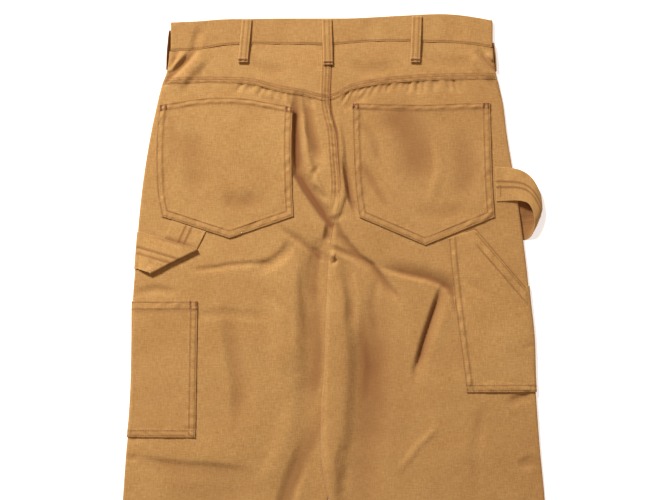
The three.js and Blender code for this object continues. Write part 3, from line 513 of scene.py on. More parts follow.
def wobble(x, down, size, seed):
    """Smooth uneven values between -1 and 1, about one swing in size."""
    draws = np.random.RandomState(seed).uniform(-1, 1, (64, 64))
    u = np.asarray(x, float) / size + 20.5
    v = np.asarray(down, float) / size + 5.5
    i = np.floor(u).astype(int)
    j = np.floor(v).astype(int)
    a = smoothstep(u - i, 0, 1)
    b = smoothstep(v - j, 0, 1)
    low = mix(draws[i % 64, j % 64], draws[(i + 1) % 64, j % 64], a)
    high = mix(draws[i % 64, (j + 1) % 64], draws[(i + 1) % 64, (j + 1) % 64], a)
    return mix(low, high, b)


def crease_sum(creases, x, down, strength=1.0):
    """Height of a table of folds at each point."""
    x, down = np.broadcast_arrays(np.asarray(x, float), np.asarray(down, float))
    height = np.zeros(x.shape)
    for crease in creases:
        route = np.array(crease["route"], float)
        reach = max(crease["low"], crease["high"]) + 3
        near = ((x > route[:, 0].min() - reach) & (x < route[:, 0].max() + reach)
                & (down > route[:, 1].min() - reach) & (down < route[:, 1].max() + reach))
        if not near.any():
            continue
        px, pd = x[near], down[near]
        best = np.full(px.shape, np.inf)
        along = np.zeros(px.shape)
        hand = np.zeros(px.shape)
        walked = 0.0
        for (x0, d0), (x1, d1) in zip(route[:-1], route[1:]):
            length = math.hypot(x1 - x0, d1 - d0)
            t = np.clip(((px - x0) * (x1 - x0) + (pd - d0) * (d1 - d0)) / length ** 2, 0, 1)
            gap = np.hypot(px - mix(x0, x1, t), pd - mix(d0, d1, t))
            nearer = gap < best
            best = np.where(nearer, gap, best)
            along = np.where(nearer, walked + t * length, along)
            turned = (x1 - x0) * (pd - d0) - (d1 - d0) * (px - x0)
            hand = np.where(nearer, turned / length, hand)
            walked += length
        along = along / walked
        width = mix(crease["high"], crease["low"], smoothstep(hand, -2.5, 2.5))
        rounded = np.hypot(best, 1.2) - 1.2
        q = np.clip(rounded / width, 0, 1)
        ends = smoothstep(along, -0.12, 0.25) * (1 - smoothstep(along, 0.75, 1.12))
        shape = mix((1 - q ** 2) ** 2, (1 - q) ** 2, crease["crisp"])
        height[near] += strength * crease["deep"] * ends * shape
    return height


def underlay(x, down):
    """Height of the front's underside: it lies on loops and wrapped pockets."""
    bump = np.exp(-(x * x + (down - BUTTON_DOWN) ** 2) / (2 * BUTTON_SPREAD ** 2))
    return UNDERLAY * (1 - ramp(down, UNDERLAY_END, UNDERLAY_GONE)) + BUTTON_RISE * bump


def lap(leg, x, down):
    """How far the right leg is lifted by the left leg's inner edge."""
    if leg == "left":
        return np.zeros(np.broadcast(x, down).shape)
    along = ramp(down, LAP_START, LAP_FULL) * (1 - ramp(down, LAP_FADE, LAP_GONE))
    edge = np.maximum(inner("left", down), inner("right", down) + 4) + 3
    return LAP_RISE * along * (1 - smoothstep(x, edge, edge + LAP_SLOPE))


def dome(x, low, high):
    """From 0 at both ends to 1 in the middle, steep at the ends."""
    s = np.clip((x - low) / (high - low), 0, 1)
    return np.maximum(np.sin(np.pi * s), 0) ** 0.7


def shared_dents(x, down):
    """The dents that a back pocket and the seat below it share, with a slight unevenness."""
    strength = bpy.context.scene.pants_sizes.fold_strength
    dents = crease_sum(POCKET_DENTS, x, down, strength)
    for size, high, seed in UNEVEN:
        dents = dents + high * wobble(x, down, size, seed)
    return dents


def fold_height(x, down):
    """All folds, creases and dents of the body at each point."""
    strength = bpy.context.scene.pants_sizes.fold_strength
    folds = crease_sum(FOLDS, x, down, strength) + crease_sum(CREASES, x, down, strength)
    return folds + shared_dents(x, down)


def painted_shade(height):
    """How much painted shade a fold of this height gets: none on the flat, more the deeper it lies."""
    return np.clip(-height / FOLD_SHADE_FULL, 0, 1.25) ** 1.25


def back_height(leg, x, down, folds=fold_height):
    """Outer surface of the back with its folds, or with those that another piece follows."""
    x = np.asarray(x, float)
    down = np.asarray(down, float)
    least = underlay(x, down) + 2 * CLOTH + AIR + lap(leg, x, down)
    seat = sample(PUFF, "down", "seat", down) * dome(x, side("left", down), side("right", down))
    if leg == "left":
        low, high = side("left", down), inner("left", down)
    else:
        low, high = inner("right", down), side("right", down)
    leg_puff = sample(PUFF, "down", "leg", down) * dome(x, low, high)
    split = smoothstep(down, 275, 350)
    fold = folds(x, down)
    if leg == "left":
        overlap = 1 - smoothstep(down, LAP_FADE - 20, LAP_FADE + 20)
        edge = inner("right", down)
        tuck = mix(1, 1 - smoothstep(x, edge - 42, edge - 7), overlap)
        leg_puff = leg_puff * tuck
        fold = fold * np.where(down > LAP_START, mix(1, tuck, ramp(down, LAP_START, LAP_FULL)), 1)
    stand = mix(seat, leg_puff, split) + fold
    return least + 0.5 * (stand + np.sqrt(stand * stand + 0.5)) - 0.1


def puckers(x, down):
    """Short gathers that the yoke seam pulls into the cloth below it."""
    height = np.zeros(np.broadcast(x, down).shape)
    below = down - across("yoke", x)
    for start, count, pitch, seed in GATHERS:
        draws = np.random.RandomState(seed)
        for k in range(count):
            middle = start + k * pitch + draws.uniform(-2.2, 2.2)
            slant = mix(-0.75, 0.4, k / count) + draws.uniform(-0.15, 0.15)
            reach = draws.uniform(12, 22)
            deep = draws.uniform(1.0, 2.6)
            off = (x - middle - slant * below) / 3.0
            ends = smoothstep(below, -1, 2.5) * (1 - smoothstep(below, reach * 0.4, reach))
            height -= deep * np.exp(-off ** 2) * ends
    return height


def seam_line(off, rows, width, step, along, seed):
    """Height beside a felled edge: a thicker band, sunk at each row of stitches and puckered along them."""
    band = (1 - smoothstep(off, width - 0.7, width + 0.7)) * smoothstep(off, -0.6, 0.1)
    height = step * band
    for row in rows:
        height = height - GROOVE * np.exp(-((off - row) / GROOVE_WIDE) ** 2)
    near = smoothstep(off, -3, 1) * (1 - smoothstep(off, width, width + 6))
    between = smoothstep(off, 1, 3) * (1 - smoothstep(off, width - 3, width))
    rope = wobble(along + off * 0.8, off * 0.5, 4.4, seed) * between
    short = wobble(along, off * 0.35, 5.2, seed + 1)
    long = wobble(along, off * 0.2, 12, seed + 2)
    return height + (0.38 * short + 0.42 * long + 0.75 * rope) * near


def stitch_row_shade(off, rows):
    """Painted shade in the cloth sunk along its rows of stitches."""
    return sum(np.exp(-((off - row) / 1.0) ** 2) for row in rows)


def seat_groove(x, down):
    """The deep line beside the seat seam, where the right side turns under it."""
    return np.exp(-((x - inner("right", down)) / 1.5) ** 2) * (1 - ramp(down, 200, 235))


def back_surface(leg, x, down):
    """Outer surface of a back panel, with its seams' bands, and the painted shade of its seams, of the
    groove beside the seat seam and of the pocket's mouth.
    """
    height = back_height(leg, x, down) + puckers(x, down)
    hem_off = HEM - down
    near_hem = 1 - smoothstep(hem_off, HEM_TURN + 4, HEM_TURN + 12)
    height = height + near_hem * seam_line(hem_off, (HEM_ROW,), HEM_TURN, HEM_STEP, x, 31)
    dark = stitch_row_shade(hem_off, (HEM_ROW,))
    if leg == "right":
        # Painted shadow in the groove beside the seat seam, and painted shade just inside the slanted
        # pocket's mouth
        groove = seat_groove(x, down)
        above_mouth = np.where(x > TOOL_RIGHT["shoulder"][0] - 12, mouth_down(x) - down, FAR)
        mouth = np.exp(-((above_mouth - 0.6) / 1.5) ** 2)
        return height - GROOVE_DEEP * groove, dark + GROOVE_SHADOW * groove + MOUTH_SHADE * mouth
    live = 1 - ramp(down, *SEAT_SHOWN)
    off = inner("left", down) - x
    height = height + live * seam_line(off, SEAT_ROWS, SEAT_BAND, SEAT_STEP, down, 33)
    return height, dark + live * stitch_row_shade(off, SEAT_ROWS)


def yoke_surface(leg, x, down):
    """Outer surface of a yoke with its seams' bands, and the painted shade of its seams and of the groove
    beside the seat seam.
    """
    height = back_height(leg, x, down)
    off = across("yoke", x) - down
    height = height + seam_line(off, YOKE_ROWS, YOKE_BAND, YOKE_STEP, x, 35)
    dark = stitch_row_shade(off, YOKE_ROWS)
    if leg == "right":
        # Painted shadow in the groove beside the seat seam
        groove = seat_groove(x, down)
        return height - GROOVE_DEEP * groove, dark + GROOVE_SHADOW * groove
    off = inner("left", down) - x
    height = height + seam_line(off, SEAT_ROWS, SEAT_BAND, SEAT_STEP, down, 37)
    return height, dark + stitch_row_shade(off, SEAT_ROWS)


def front_top(leg, x, down):
    """Height of the front's upper side, which the back lies on."""
    return underlay(x, down) + lap(leg, x, down) + CLOTH


def panel_roll(leg, edge, down, angle, off=0.0):
    """A point on the back's roll at a side or inner edge: x, z and the sideways turn."""
    sign = way(edge)
    x0 = side(edge, down) if edge == leg else inner(leg, down)
    inside = x0 - sign * EDGE_RADIUS
    high = back_height(leg, inside, down)
    low = front_top(leg, x0, down) + LIE_GAP
    x = inside + sign * (EDGE_RADIUS + off) * np.sin(angle)
    z = low + (high - low) * np.cos(angle) + off * np.cos(angle)
    return x, z


def spaced(length, low, high, step=FINE):
    """Places from 0 to length, close together at each end as the steps say."""
    low = [v for v in low if v < length * 0.45]
    high = [v for v in high if v < length * 0.45]
    start, end = low[-1], length - high[-1]
    count = max(2, int(round((end - start) / step)))
    middle = list(np.linspace(start, end, count + 1)[1:-1])
    return np.array(list(low) + middle + [length - v for v in reversed(high)])


def stretched(places, length):
    """The same places on another length: the ends keep their distances and the middle stretches."""
    whole = places.max()
    near = ENDS_KEPT if whole > 60 else whole * 0.3
    inside = (places - near) / (whole - 2 * near) * (length - 2 * near) + near
    from_end = np.where(places > whole - near, length - (whole - places), inside)
    return np.where(places < near, places, from_end)


def stretched_at(places, place, lengths):
    """Where one of the places falls on each of several lengths."""
    return stretched(places[:, None], lengths[None])[nearest(places, place)]


def in_row(points):
    """Points in the pattern's millimetres to the row's metres."""
    moved = np.array(points, float)
    moved[..., 0] = (moved[..., 0] + SHIFT_X) * MM
    moved[..., 1] = (moved[..., 1] + SHIFT_Y) * MM
    moved[..., 2] = moved[..., 2] * MM
    return moved


def normals_of(points):
    """The direction that each point of a grid faces."""
    along_rows = np.gradient(points, axis=0)
    along_cols = np.gradient(points, axis=1)
    normal = np.cross(along_rows, along_cols)
    length = np.linalg.norm(normal, axis=2, keepdims=True)
    return normal / np.maximum(length, 1e-12)


def edge_distance(points, free):
    """Distance of each point from the nearest free edge of its grid; free names some of t, b, l and r."""
    down_steps = np.linalg.norm(np.diff(points, axis=0), axis=2)
    side_steps = np.linalg.norm(np.diff(points, axis=1), axis=2)
    rows, cols = points.shape[:2]
    from_top = np.vstack([np.zeros(cols), np.cumsum(down_steps, axis=0)])
    from_left = np.hstack([np.zeros((rows, 1)), np.cumsum(side_steps, axis=1)])
    far = np.full((rows, cols), float(FAR))
    for letter, distance in (
        ("t", from_top),
        ("b", from_top[-1] - from_top),
        ("l", from_left),
        ("r", from_left[:, -1:] - from_left),
    ):
        if letter in free:
            far = np.minimum(far, distance)
    return far, from_top, from_left


def cloth(name, outer, wall, node, dark=None, free="tblr", middle=False, finish="duck", shade_amounts=None):
    """A shell of cloth from a grid of points in millimetres: the outer side, or its middle layer.

    The grain runs straight down the body, and along a strap, which is given by its middle layer.
    """
    outer = np.array(outer, float)
    normal = normals_of(outer)
    if middle:
        outer = outer + normal * wall / 2
    edge, from_top, from_left = edge_distance(outer, free)
    half = wall / 2
    bare = 1 - np.clip(edge / half, 0, 1)
    soft = half * 0.92 * (1 - np.sqrt(1 - bare ** 2))
    inside = outer - normal * (wall - soft)[..., None]
    shown = outer - normal * soft[..., None]
    rows, cols = outer.shape[:2]
    count = rows * cols
    points = in_row(np.concatenate([shown.reshape(-1, 3), inside.reshape(-1, 3)]))
    index = np.arange(count).reshape(rows, cols)
    a, b, c, d = index[:-1, :-1], index[1:, :-1], index[1:, 1:], index[:-1, 1:]
    top = np.stack([a, b, c, d], axis=2).reshape(-1, 4)
    under = np.stack([d, c, b, a], axis=2).reshape(-1, 4) + count
    rim = np.concatenate([index[:-1, 0], index[-1, :-1], index[:0:-1, -1], index[0, :0:-1]])
    after = np.roll(rim, -1)
    rim_faces = np.stack([after, rim, rim + count, after + count], axis=1)
    faces = np.concatenate([top, under, rim_faces])
    mesh = bpy.data.meshes.new(name)
    mesh.from_pydata(points.tolist(), [], faces.tolist())
    if middle:
        grain = np.stack([from_left, from_top], axis=2)
    else:
        walked = np.hypot(np.diff(outer[..., 0], axis=1), np.diff(outer[..., 2], axis=1))
        sideways = outer[:, :1, 0] + np.hstack([np.zeros((rows, 1)), np.cumsum(walked, axis=1)])
        grain = np.stack([sideways + 350, outer[..., 1] + 1200], axis=2)
    uv = grain.reshape(-1, 2) * MM / UV_SPAN
    uv = np.concatenate([uv, uv])
    corners = np.empty(len(mesh.loops), dtype=np.int32)
    mesh.loops.foreach_get("vertex_index", corners)
    mesh.uv_layers.new(name="cut").data.foreach_set("uv", uv[corners].ravel())
    # Painted shade along the sunk stitch rows and grooves
    seam_shade = np.zeros((rows, cols)) if dark is None else np.clip(dark, 0, 1.8)
    rub = 1 - smoothstep(edge, 0.3, 1.6)
    # Painted shade: the given fold shade plus the whole piece's painted shade
    deep = (np.zeros((rows, cols)) if shade_amounts is None else shade_amounts) + PIECE_SHADE.get(node, 0)
    for label, values in (("seam", seam_shade), ("rub", rub), ("painted_shade", deep)):
        layer = mesh.attributes.new(label, "FLOAT", "POINT")
        layer.data.foreach_set("value", np.concatenate([values.ravel(), values.ravel()]))
    piece = bpy.data.objects.new(name, mesh)
    bpy.context.scene.collection.objects.link(piece)
    settle(piece, finish, "duck", node)
    soften(piece, 55)
    made[name] = {"outer": shown, "normal": normal}
    return piece


def deselect():
    """Leaves nothing selected, so that an operator acts on its own piece alone."""
    for other in bpy.context.selected_objects:
        other.select_set(False)


def soften(piece, degrees):
    """Smooth shading, with edges sharper than this kept."""
    deselect()
    piece.select_set(True)
    bpy.context.view_layer.objects.active = piece
    bpy.ops.object.shade_smooth_by_angle(angle=math.radians(degrees))


def settle(piece, finish, slot, *nodes):
    """Gives a finished piece its material and its place in the frame, and hides the nodes it stands for;
    slot is not used.
    """
    piece.data.materials.clear()
    piece.data.materials.append(MATERIALS[finish]())
    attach(piece, BODY)
    if nodes:
        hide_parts(*nodes)
    return piece


def stitches(runs, pitch=3.3, length=2.7, thick=0.62):
    """Threads as small raised dashes along each run of points and normals; returns vertices and faces."""
    ring_at = np.array([-0.5, -0.3, 0.3, 0.5]) * length
    ring_size = np.array([0.35, 1.0, 1.0, 0.35])
    ring_lift = np.array([-0.25, 0.12, 0.12, -0.25])
    corner = np.array([[1, 0], [0, 0.75], [-1, 0], [0, -0.6]])
    vertices = []
    faces = []
    total = 0
    for points, normal in runs:
        steps = np.linalg.norm(np.diff(points, axis=0), axis=1)
        walked = np.concatenate([[0], np.cumsum(steps)])
        count = int(max(walked[-1] - length, 0) / pitch) + 1
        start = (walked[-1] - (count - 1) * pitch) / 2
        at = start + np.arange(count) * pitch
        place = np.stack([np.interp(at, walked, points[:, k]) for k in range(3)], axis=1)
        ahead = np.stack([np.interp(at + 0.4, walked, points[:, k]) for k in range(3)], axis=1)
        behind = np.stack([np.interp(at - 0.4, walked, points[:, k]) for k in range(3)], axis=1)
        up = np.stack([np.interp(at, walked, normal[:, k]) for k in range(3)], axis=1)
        along = ahead - behind
        along /= np.linalg.norm(along, axis=1, keepdims=True)
        beside = np.cross(up, along)
        beside /= np.linalg.norm(beside, axis=1, keepdims=True)
        up = np.cross(along, beside)
        shape = []
        for ring in range(4):
            for off, high in corner:
                half = thick / 2 * ring_size[ring]
                shape.append((ring_at[ring], off * half, high * half + ring_lift[ring] * thick))
        shape = np.array(shape)
        dash = (place[:, None] + shape[None, :, :1] * along[:, None] + shape[None, :, 1:2] * beside[:, None]
                + shape[None, :, 2:] * up[:, None])
        vertices.append(dash.reshape(-1, 3))
        block = []
        for ring in range(3):
            for k in range(4):
                n = (k + 1) % 4
                block.append((ring * 4 + k, ring * 4 + n, ring * 4 + 4 + n, ring * 4 + 4 + k))
        block.append((3, 2, 1, 0))
        block.append((12, 13, 14, 15))
        block = np.array(block)
        faces.append((block[None] + (total + 16 * np.arange(count))[:, None, None]).reshape(-1, 4))
        total += 16 * count
    return np.concatenate(vertices), np.concatenate(faces)


def thread(name, runs, finish="thread", **sizes):
    """One piece of all these runs of stitches."""
    points, faces = stitches(runs, **sizes)
    mesh = bpy.data.meshes.new(name)
    mesh.from_pydata(in_row(points).tolist(), [], faces[:, ::-1].tolist())
    mesh.polygons.foreach_set("use_smooth", np.ones(len(mesh.polygons), dtype=bool))
    piece = bpy.data.objects.new(name, mesh)
    bpy.context.scene.collection.objects.link(piece)
    return settle(piece, finish, "duck")


def run_on(surface, route, step=1.2, sink=0.12):
    """A run of stitches along a route of x and down on a surface of the back."""
    route = np.array(route, float)
    steps = np.hypot(*np.diff(route, axis=0).T)
    walked = np.concatenate([[0], np.cumsum(steps)])
    at = np.arange(0, walked[-1], step)
    x = np.interp(at, walked, route[:, 0])
    down = np.interp(at, walked, route[:, 1])
    z = surface(x, down)
    reach = 1.5
    slope_x = (surface(x + reach, down) - surface(x - reach, down)) / (2 * reach)
    slope_d = (surface(x, down + reach) - surface(x, down - reach)) / (2 * reach)
    normal = np.stack([-slope_x, slope_d, np.ones_like(z)], axis=1)
    normal /= np.linalg.norm(normal, axis=1, keepdims=True)
    return np.stack([x, -down, z + sink], axis=1), normal


def line_of(name, row=None, col=None, start=None, end=None, sink=0.12):
    """A run of stitches along one line of a piece's grid."""
    grid = made[name]
    cut = slice(start, end)
    points = grid["outer"][row, cut] if col is None else grid["outer"][cut, col]
    normal = grid["normal"][row, cut] if col is None else grid["normal"][cut, col]
    return points + normal * sink, normal


def nearest(places, mark):
    """Index of the place that lies nearest to the mark."""
    return int(np.argmin(np.abs(np.asarray(places) - mark)))


def tack(surface, x, down, length, width=2.2, upright=True, pitch=0.62):
    """A bartack: close stitches laid across a short bar."""
    runs = []
    for k in range(int(length / pitch)):
        off = (k + 0.5) * pitch - length / 2
        reach = width / 2 + 1.35
        if upright:
            route = ((x - reach, down + off), (x + reach, down + off))
        else:
            route = ((x + off, down - reach), (x + off, down + reach))
        runs.append(run_on(surface, route, step=0.5, sink=0.3))
    return runs


def srgb(code):
    """An sRGB hex colour as linear red, green, blue and 1."""
    values = [int(code[i:i + 2], 16) / 255 for i in (1, 3, 5)]
    return tuple(v / 12.92 if v <= 0.04045 else ((v + 0.055) / 1.055) ** 2.4 for v in values) + (1.0,)


def add_node(tree, kind, inputs=None, **settings):
    """Adds a node, sets it, and links or fills its inputs."""
    node = tree.nodes.new(kind)
    for key, value in settings.items():
        setattr(node, key, value)
    for key, value in (inputs or {}).items():
        if isinstance(value, bpy.types.NodeSocket):
            tree.links.new(value, node.inputs[key])
        else:
            node.inputs[key].default_value = value
    return node


def new_material(name):
    """An empty material, or None with the material where it exists already."""
    material = bpy.data.materials.get(name)
    if material:
        return material, None
    material = bpy.data.materials.new(name)
    material.use_nodes = True
    material.node_tree.nodes.clear()
    return material, material.node_tree


def output(tree, shader):
    """Ends a material's tree in its output."""
    add_node(tree, "ShaderNodeOutputMaterial", {"Surface": shader.outputs["BSDF"]})


def wave_scale(pitch):
    """The wave texture's scale for bands this many millimetres apart."""
    return 2 * math.pi / (20 * pitch * MM)


# Spacing of the duck's yarns. Real ones lie 0.55 mm apart, which a pixel of 1.35 mm can't show, so they are
# drawn coarser
WEAVE_PITCH = 1.05
SLUB_WIDE = 1.3
SLUB_LONG = 11
# From one turn of the thread to the next, and from one rib of the tape to the next
THREAD_TWIST = 0.5
TAPE_RIBS = 0.9
# Sizes of the three kinds of patches where the dye varies
MOTTLE = 40
CLOUD = 130
SPECKLE = 3.0


def duck_canvas():
    """Cotton duck, plain woven and piece dyed: matt and dry, slubbed in both directions, unevenly dyed."""
    material, tree = new_material("duck_canvas_piece_dyed")
    if tree is None:
        return material
    colours = bpy.context.scene.pants_colours
    uv = add_node(tree, "ShaderNodeUVMap", uv_map="cut").outputs["UV"]
    span = (UV_SPAN, UV_SPAN, UV_SPAN)
    metres = add_node(tree, "ShaderNodeMapping", {"Vector": uv, "Scale": span}).outputs[0]
    weave = []
    for direction in ("X", "Y"):
        bands = add_node(tree, "ShaderNodeTexWave",
                         {"Vector": metres, "Scale": wave_scale(WEAVE_PITCH), "Distortion": 0.0},
                         bands_direction=direction)
        centred = add_node(tree, "ShaderNodeMath", {0: bands.outputs["Fac"], 1: 0.5}, operation="SUBTRACT")
        weave.append(centred.outputs[0])
    checker = add_node(tree, "ShaderNodeMath", {0: weave[0], 1: weave[1]}, operation="MULTIPLY").outputs[0]
    slubs = []
    for wide, long in ((SLUB_WIDE, SLUB_LONG), (SLUB_LONG, SLUB_WIDE)):
        grain = add_node(tree, "ShaderNodeMapping",
                         {"Vector": metres, "Scale": (1 / (wide * MM), 1 / (long * MM), 1.0)}).outputs[0]
        noise = add_node(tree, "ShaderNodeTexNoise",
                         {"Vector": grain, "Scale": 1.0, "Detail": 2.0, "Roughness": 0.6})
        centred = add_node(tree, "ShaderNodeMath", {0: noise.outputs["Fac"], 1: 0.5}, operation="SUBTRACT")
        slubs.append(centred.outputs[0])
    both = add_node(tree, "ShaderNodeMath", {0: slubs[0], 1: slubs[1]}, operation="ADD").outputs[0]
    value = add_node(tree, "ShaderNodeMath", {0: both, 1: 0.75, 2: 0.5}, operation="MULTIPLY_ADD")
    for size, share in ((MOTTLE, 0.3), (CLOUD, 0.3), (SPECKLE, 0.5)):
        noise = add_node(tree, "ShaderNodeTexNoise",
                         {"Vector": metres, "Scale": 1 / (size * MM), "Detail": 3.0, "Roughness": 0.55})
        centred = add_node(tree, "ShaderNodeMath", {0: noise.outputs["Fac"], 1: 0.5}, operation="SUBTRACT")
        value = add_node(tree, "ShaderNodeMath",
                         {0: centred.outputs[0], 1: share, 2: value.outputs[0]}, operation="MULTIPLY_ADD")
    value = add_node(tree, "ShaderNodeMath", {0: checker, 1: 0.5, 2: value.outputs[0]},
                     operation="MULTIPLY_ADD")
    dyed = add_node(tree, "ShaderNodeValToRGB", {"Fac": value.outputs[0]})
    ramp_colours = dyed.color_ramp
    ramp_colours.elements[0].position = 0.2
    ramp_colours.elements[0].color = srgb(hex_of(colours.duck_dark))
    ramp_colours.elements[1].position = 0.8
    ramp_colours.elements[1].color = srgb(hex_of(colours.duck_light))
    colour = dyed.outputs["Color"]
    # Painted shade in folds and shaded places, painted shade in the sunk stitch rows and grooves, then
    # lighter worn edges
    for mark, share, other in (
        ("painted_shade", 0.8, colours.painted_shade),
        ("seam", 0.8, colours.seam),
        ("rub", 0.3, colours.duck_light),
    ):
        marked = add_node(tree, "ShaderNodeAttribute", attribute_name=mark).outputs["Fac"]
        amount = add_node(tree, "ShaderNodeMath", {0: marked, 1: share}, operation="MULTIPLY").outputs[0]
        colour = add_node(tree, "ShaderNodeMixRGB",
                          {"Fac": amount, "Color1": colour, "Color2": srgb(hex_of(other))}).outputs[0]
    relief = add_node(tree, "ShaderNodeMath", {0: checker, 1: 0.8, 2: both}, operation="MULTIPLY_ADD")
    bump = add_node(tree, "ShaderNodeBump",
                    {"Height": relief.outputs[0], "Strength": 0.55, "Distance": 0.35 * MM})
    shader = add_node(tree, "ShaderNodeBsdfPrincipled",
                      {"Base Color": colour, "Normal": bump.outputs["Normal"], "Roughness": 0.9,
                       "Specular IOR Level": 0.25, "Sheen Weight": 0.12, "Sheen Roughness": 0.5})
    output(tree, shader)
    return material


def cotton_thread(name, code):
    """Corded cotton thread: a dull round yarn with a slight shine and the twist's diagonal lines."""
    material, tree = new_material(name)
    if tree is None:
        return material
    place = add_node(tree, "ShaderNodeTexCoord").outputs["Object"]
    twist = add_node(tree, "ShaderNodeTexWave",
                     {"Vector": place, "Scale": wave_scale(THREAD_TWIST), "Distortion": 1.5},
                     bands_direction="DIAGONAL")
    uneven = add_node(tree, "ShaderNodeTexNoise", {"Vector": place, "Scale": 1 / (6 * MM), "Detail": 2.0})
    value = add_node(tree, "ShaderNodeMath", {0: twist.outputs["Fac"], 1: 0.4, 2: uneven.outputs["Fac"]},
                     operation="MULTIPLY_ADD").outputs[0]
    red, green, blue, alpha = srgb(code)
    colour = add_node(tree, "ShaderNodeMixRGB",
                      {"Fac": value, "Color1": (red * 0.72, green * 0.7, blue * 0.68, alpha),
                       "Color2": (red * 1.15, green * 1.15, blue * 1.15, alpha)}).outputs[0]
    bump = add_node(tree, "ShaderNodeBump",
                    {"Height": twist.outputs["Fac"], "Strength": 0.4, "Distance": 0.1 * MM})
    shader = add_node(tree, "ShaderNodeBsdfPrincipled",
                      {"Base Color": colour, "Normal": bump.outputs["Normal"], "Roughness": 0.65,
                       "Sheen Weight": 0.1, "Sheen Roughness": 0.4})
    output(tree, shader)
    return material


def seam_thread():
    """Material of the topstitching."""
    return cotton_thread("seam_thread_corded_cotton", hex_of(bpy.context.scene.pants_colours.thread))


def tack_thread():
    """Material of the bartacks."""
    return cotton_thread("bartack_thread_corded_cotton", hex_of(bpy.context.scene.pants_colours.tack))


def zip_tape():
    """Woven cotton zip tape: fine cross ribs and a dull face."""
    material, tree = new_material("zip_tape_herringbone")
    if tree is None:
        return material
    place = add_node(tree, "ShaderNodeTexCoord").outputs["Object"]
    ribs = add_node(tree, "ShaderNodeTexWave", {"Vector": place, "Scale": wave_scale(TAPE_RIBS)},
                    bands_direction="Y")
    base = srgb(hex_of(bpy.context.scene.pants_colours.seam))
    dark = tuple(v * 0.6 for v in base[:3]) + (1.0,)
    colour = add_node(tree, "ShaderNodeMixRGB",
                      {"Fac": ribs.outputs["Fac"], "Color1": dark, "Color2": base}).outputs[0]
    bump = add_node(tree, "ShaderNodeBump",
                    {"Height": ribs.outputs["Fac"], "Strength": 0.5, "Distance": 0.2 * MM})
    shader = add_node(tree, "ShaderNodeBsdfPrincipled",
                      {"Base Color": colour, "Normal": bump.outputs["Normal"], "Roughness": 0.85})
    output(tree, shader)
    return material


def aged_brass():
    """Pressed brass, tumbled and aged: warm satin metal, duller where its skin has darkened."""
    material, tree = new_material("brass_aged_satin")
    if tree is None:
        return material
    place = add_node(tree, "ShaderNodeTexCoord").outputs["Object"]
    patina = add_node(tree, "ShaderNodeTexNoise", {"Vector": place, "Scale": 1 / (3 * MM), "Detail": 4.0})
    base = srgb(hex_of(bpy.context.scene.pants_colours.brass))
    dark = tuple(v * 0.5 for v in base[:3]) + (1.0,)
    colour = add_node(tree, "ShaderNodeMixRGB",
                      {"Fac": patina.outputs["Fac"], "Color1": dark, "Color2": base}).outputs[0]
    rough = add_node(tree, "ShaderNodeMath", {0: patina.outputs["Fac"], 1: 0.3, 2: 0.22},
                     operation="MULTIPLY_ADD").outputs[0]
    shader = add_node(tree, "ShaderNodeBsdfPrincipled",
                      {"Base Color": colour, "Roughness": rough, "Metallic": 1.0})
    output(tree, shader)
    return material


def paper_floor():
    """Matt white paper sweep: even, with no gloss."""
    material, tree = new_material("paper_sweep_matt_white")
    if tree is None:
        return material
    place = add_node(tree, "ShaderNodeTexCoord").outputs["Object"]
    grain = add_node(tree, "ShaderNodeTexNoise", {"Vector": place, "Scale": 1 / (5 * MM), "Detail": 2.0})
    bump = add_node(tree, "ShaderNodeBump",
                    {"Height": grain.outputs["Fac"], "Strength": 0.02, "Distance": 0.1 * MM})
    shader = add_node(tree, "ShaderNodeBsdfPrincipled",
                      {"Base Color": srgb("#F6F6F4"), "Normal": bump.outputs["Normal"], "Roughness": 0.95,
                       "Specular IOR Level": 0.1, "Emission Color": (1.0, 1.0, 1.0, 1.0),
                       "Emission Strength": 0.55})
    output(tree, shader)
    return material


MATERIALS = {
    "duck": duck_canvas,
    "thread": seam_thread,
    "tack": tack_thread,
    "zip_tape": zip_tape,
    "brass": aged_brass,
    "floor": paper_floor,
}


def hex_of(colour):
    """A colour property as an sRGB hex code."""
    return "#" + "".join(f"{round(channel * 255):02X}" for channel in colour[:3])


def channels(code):
    """Red, green and blue from 0 to 1 for a hex code."""
    return tuple(int(code[i:i + 2], 16) / 255 for i in (1, 3, 5))


def colour(name, description, code):
    """A colour that a user would change."""
    return bpy.props.FloatVectorProperty(
        name=name, description=description, default=channels(code), subtype="COLOR_GAMMA", size=3)


class PantsSizes(bpy.types.PropertyGroup):
    """Sizes that a user would change"""
    fold_strength: bpy.props.FloatProperty(
        name="Fold strength", description="Depth of every fold, where 1 is as in the photo",
        default=1.0, min=0.0, max=1.3)
    stitch_pitch: bpy.props.FloatProperty(
        name="Stitch pitch", description="From one stitch to the next",
        default=3.3 * MM, subtype="DISTANCE", unit="LENGTH")
    thread_thick: bpy.props.FloatProperty(
        name="Thread", description="Thickness of the topstitching thread",
        default=0.62 * MM, subtype="DISTANCE", unit="LENGTH")


class PantsColours(bpy.types.PropertyGroup):
    """Colours that a user would change"""
    duck_light: colour("Duck, light", "Cloth where the dye is thin", "#C79D61")
    duck_dark: colour("Duck, dark", "Cloth where the dye is deep", "#AA7A41")
    # Painted shade along sunk stitch rows, in the groove beside the seat seam and in the slanted pocket's
    # mouth; also the zip tape's own colour
    seam: colour("Seam", "Cloth that is sunk along a row of stitches", "#86592F")
    # Painted shade: the colour that folds, shaded places and less lit pieces are mixed toward
    painted_shade: colour("Hollow", "Cloth deep in a fold, where nothing rubs", "#8A5A31")
    thread: colour("Thread", "Topstitching thread", "#B6844C")
    tack: colour("Bartack thread", "Thread of the bartacks", "#87532C")
    brass: colour("Brass", "Button and zip teeth", "#B08D50")


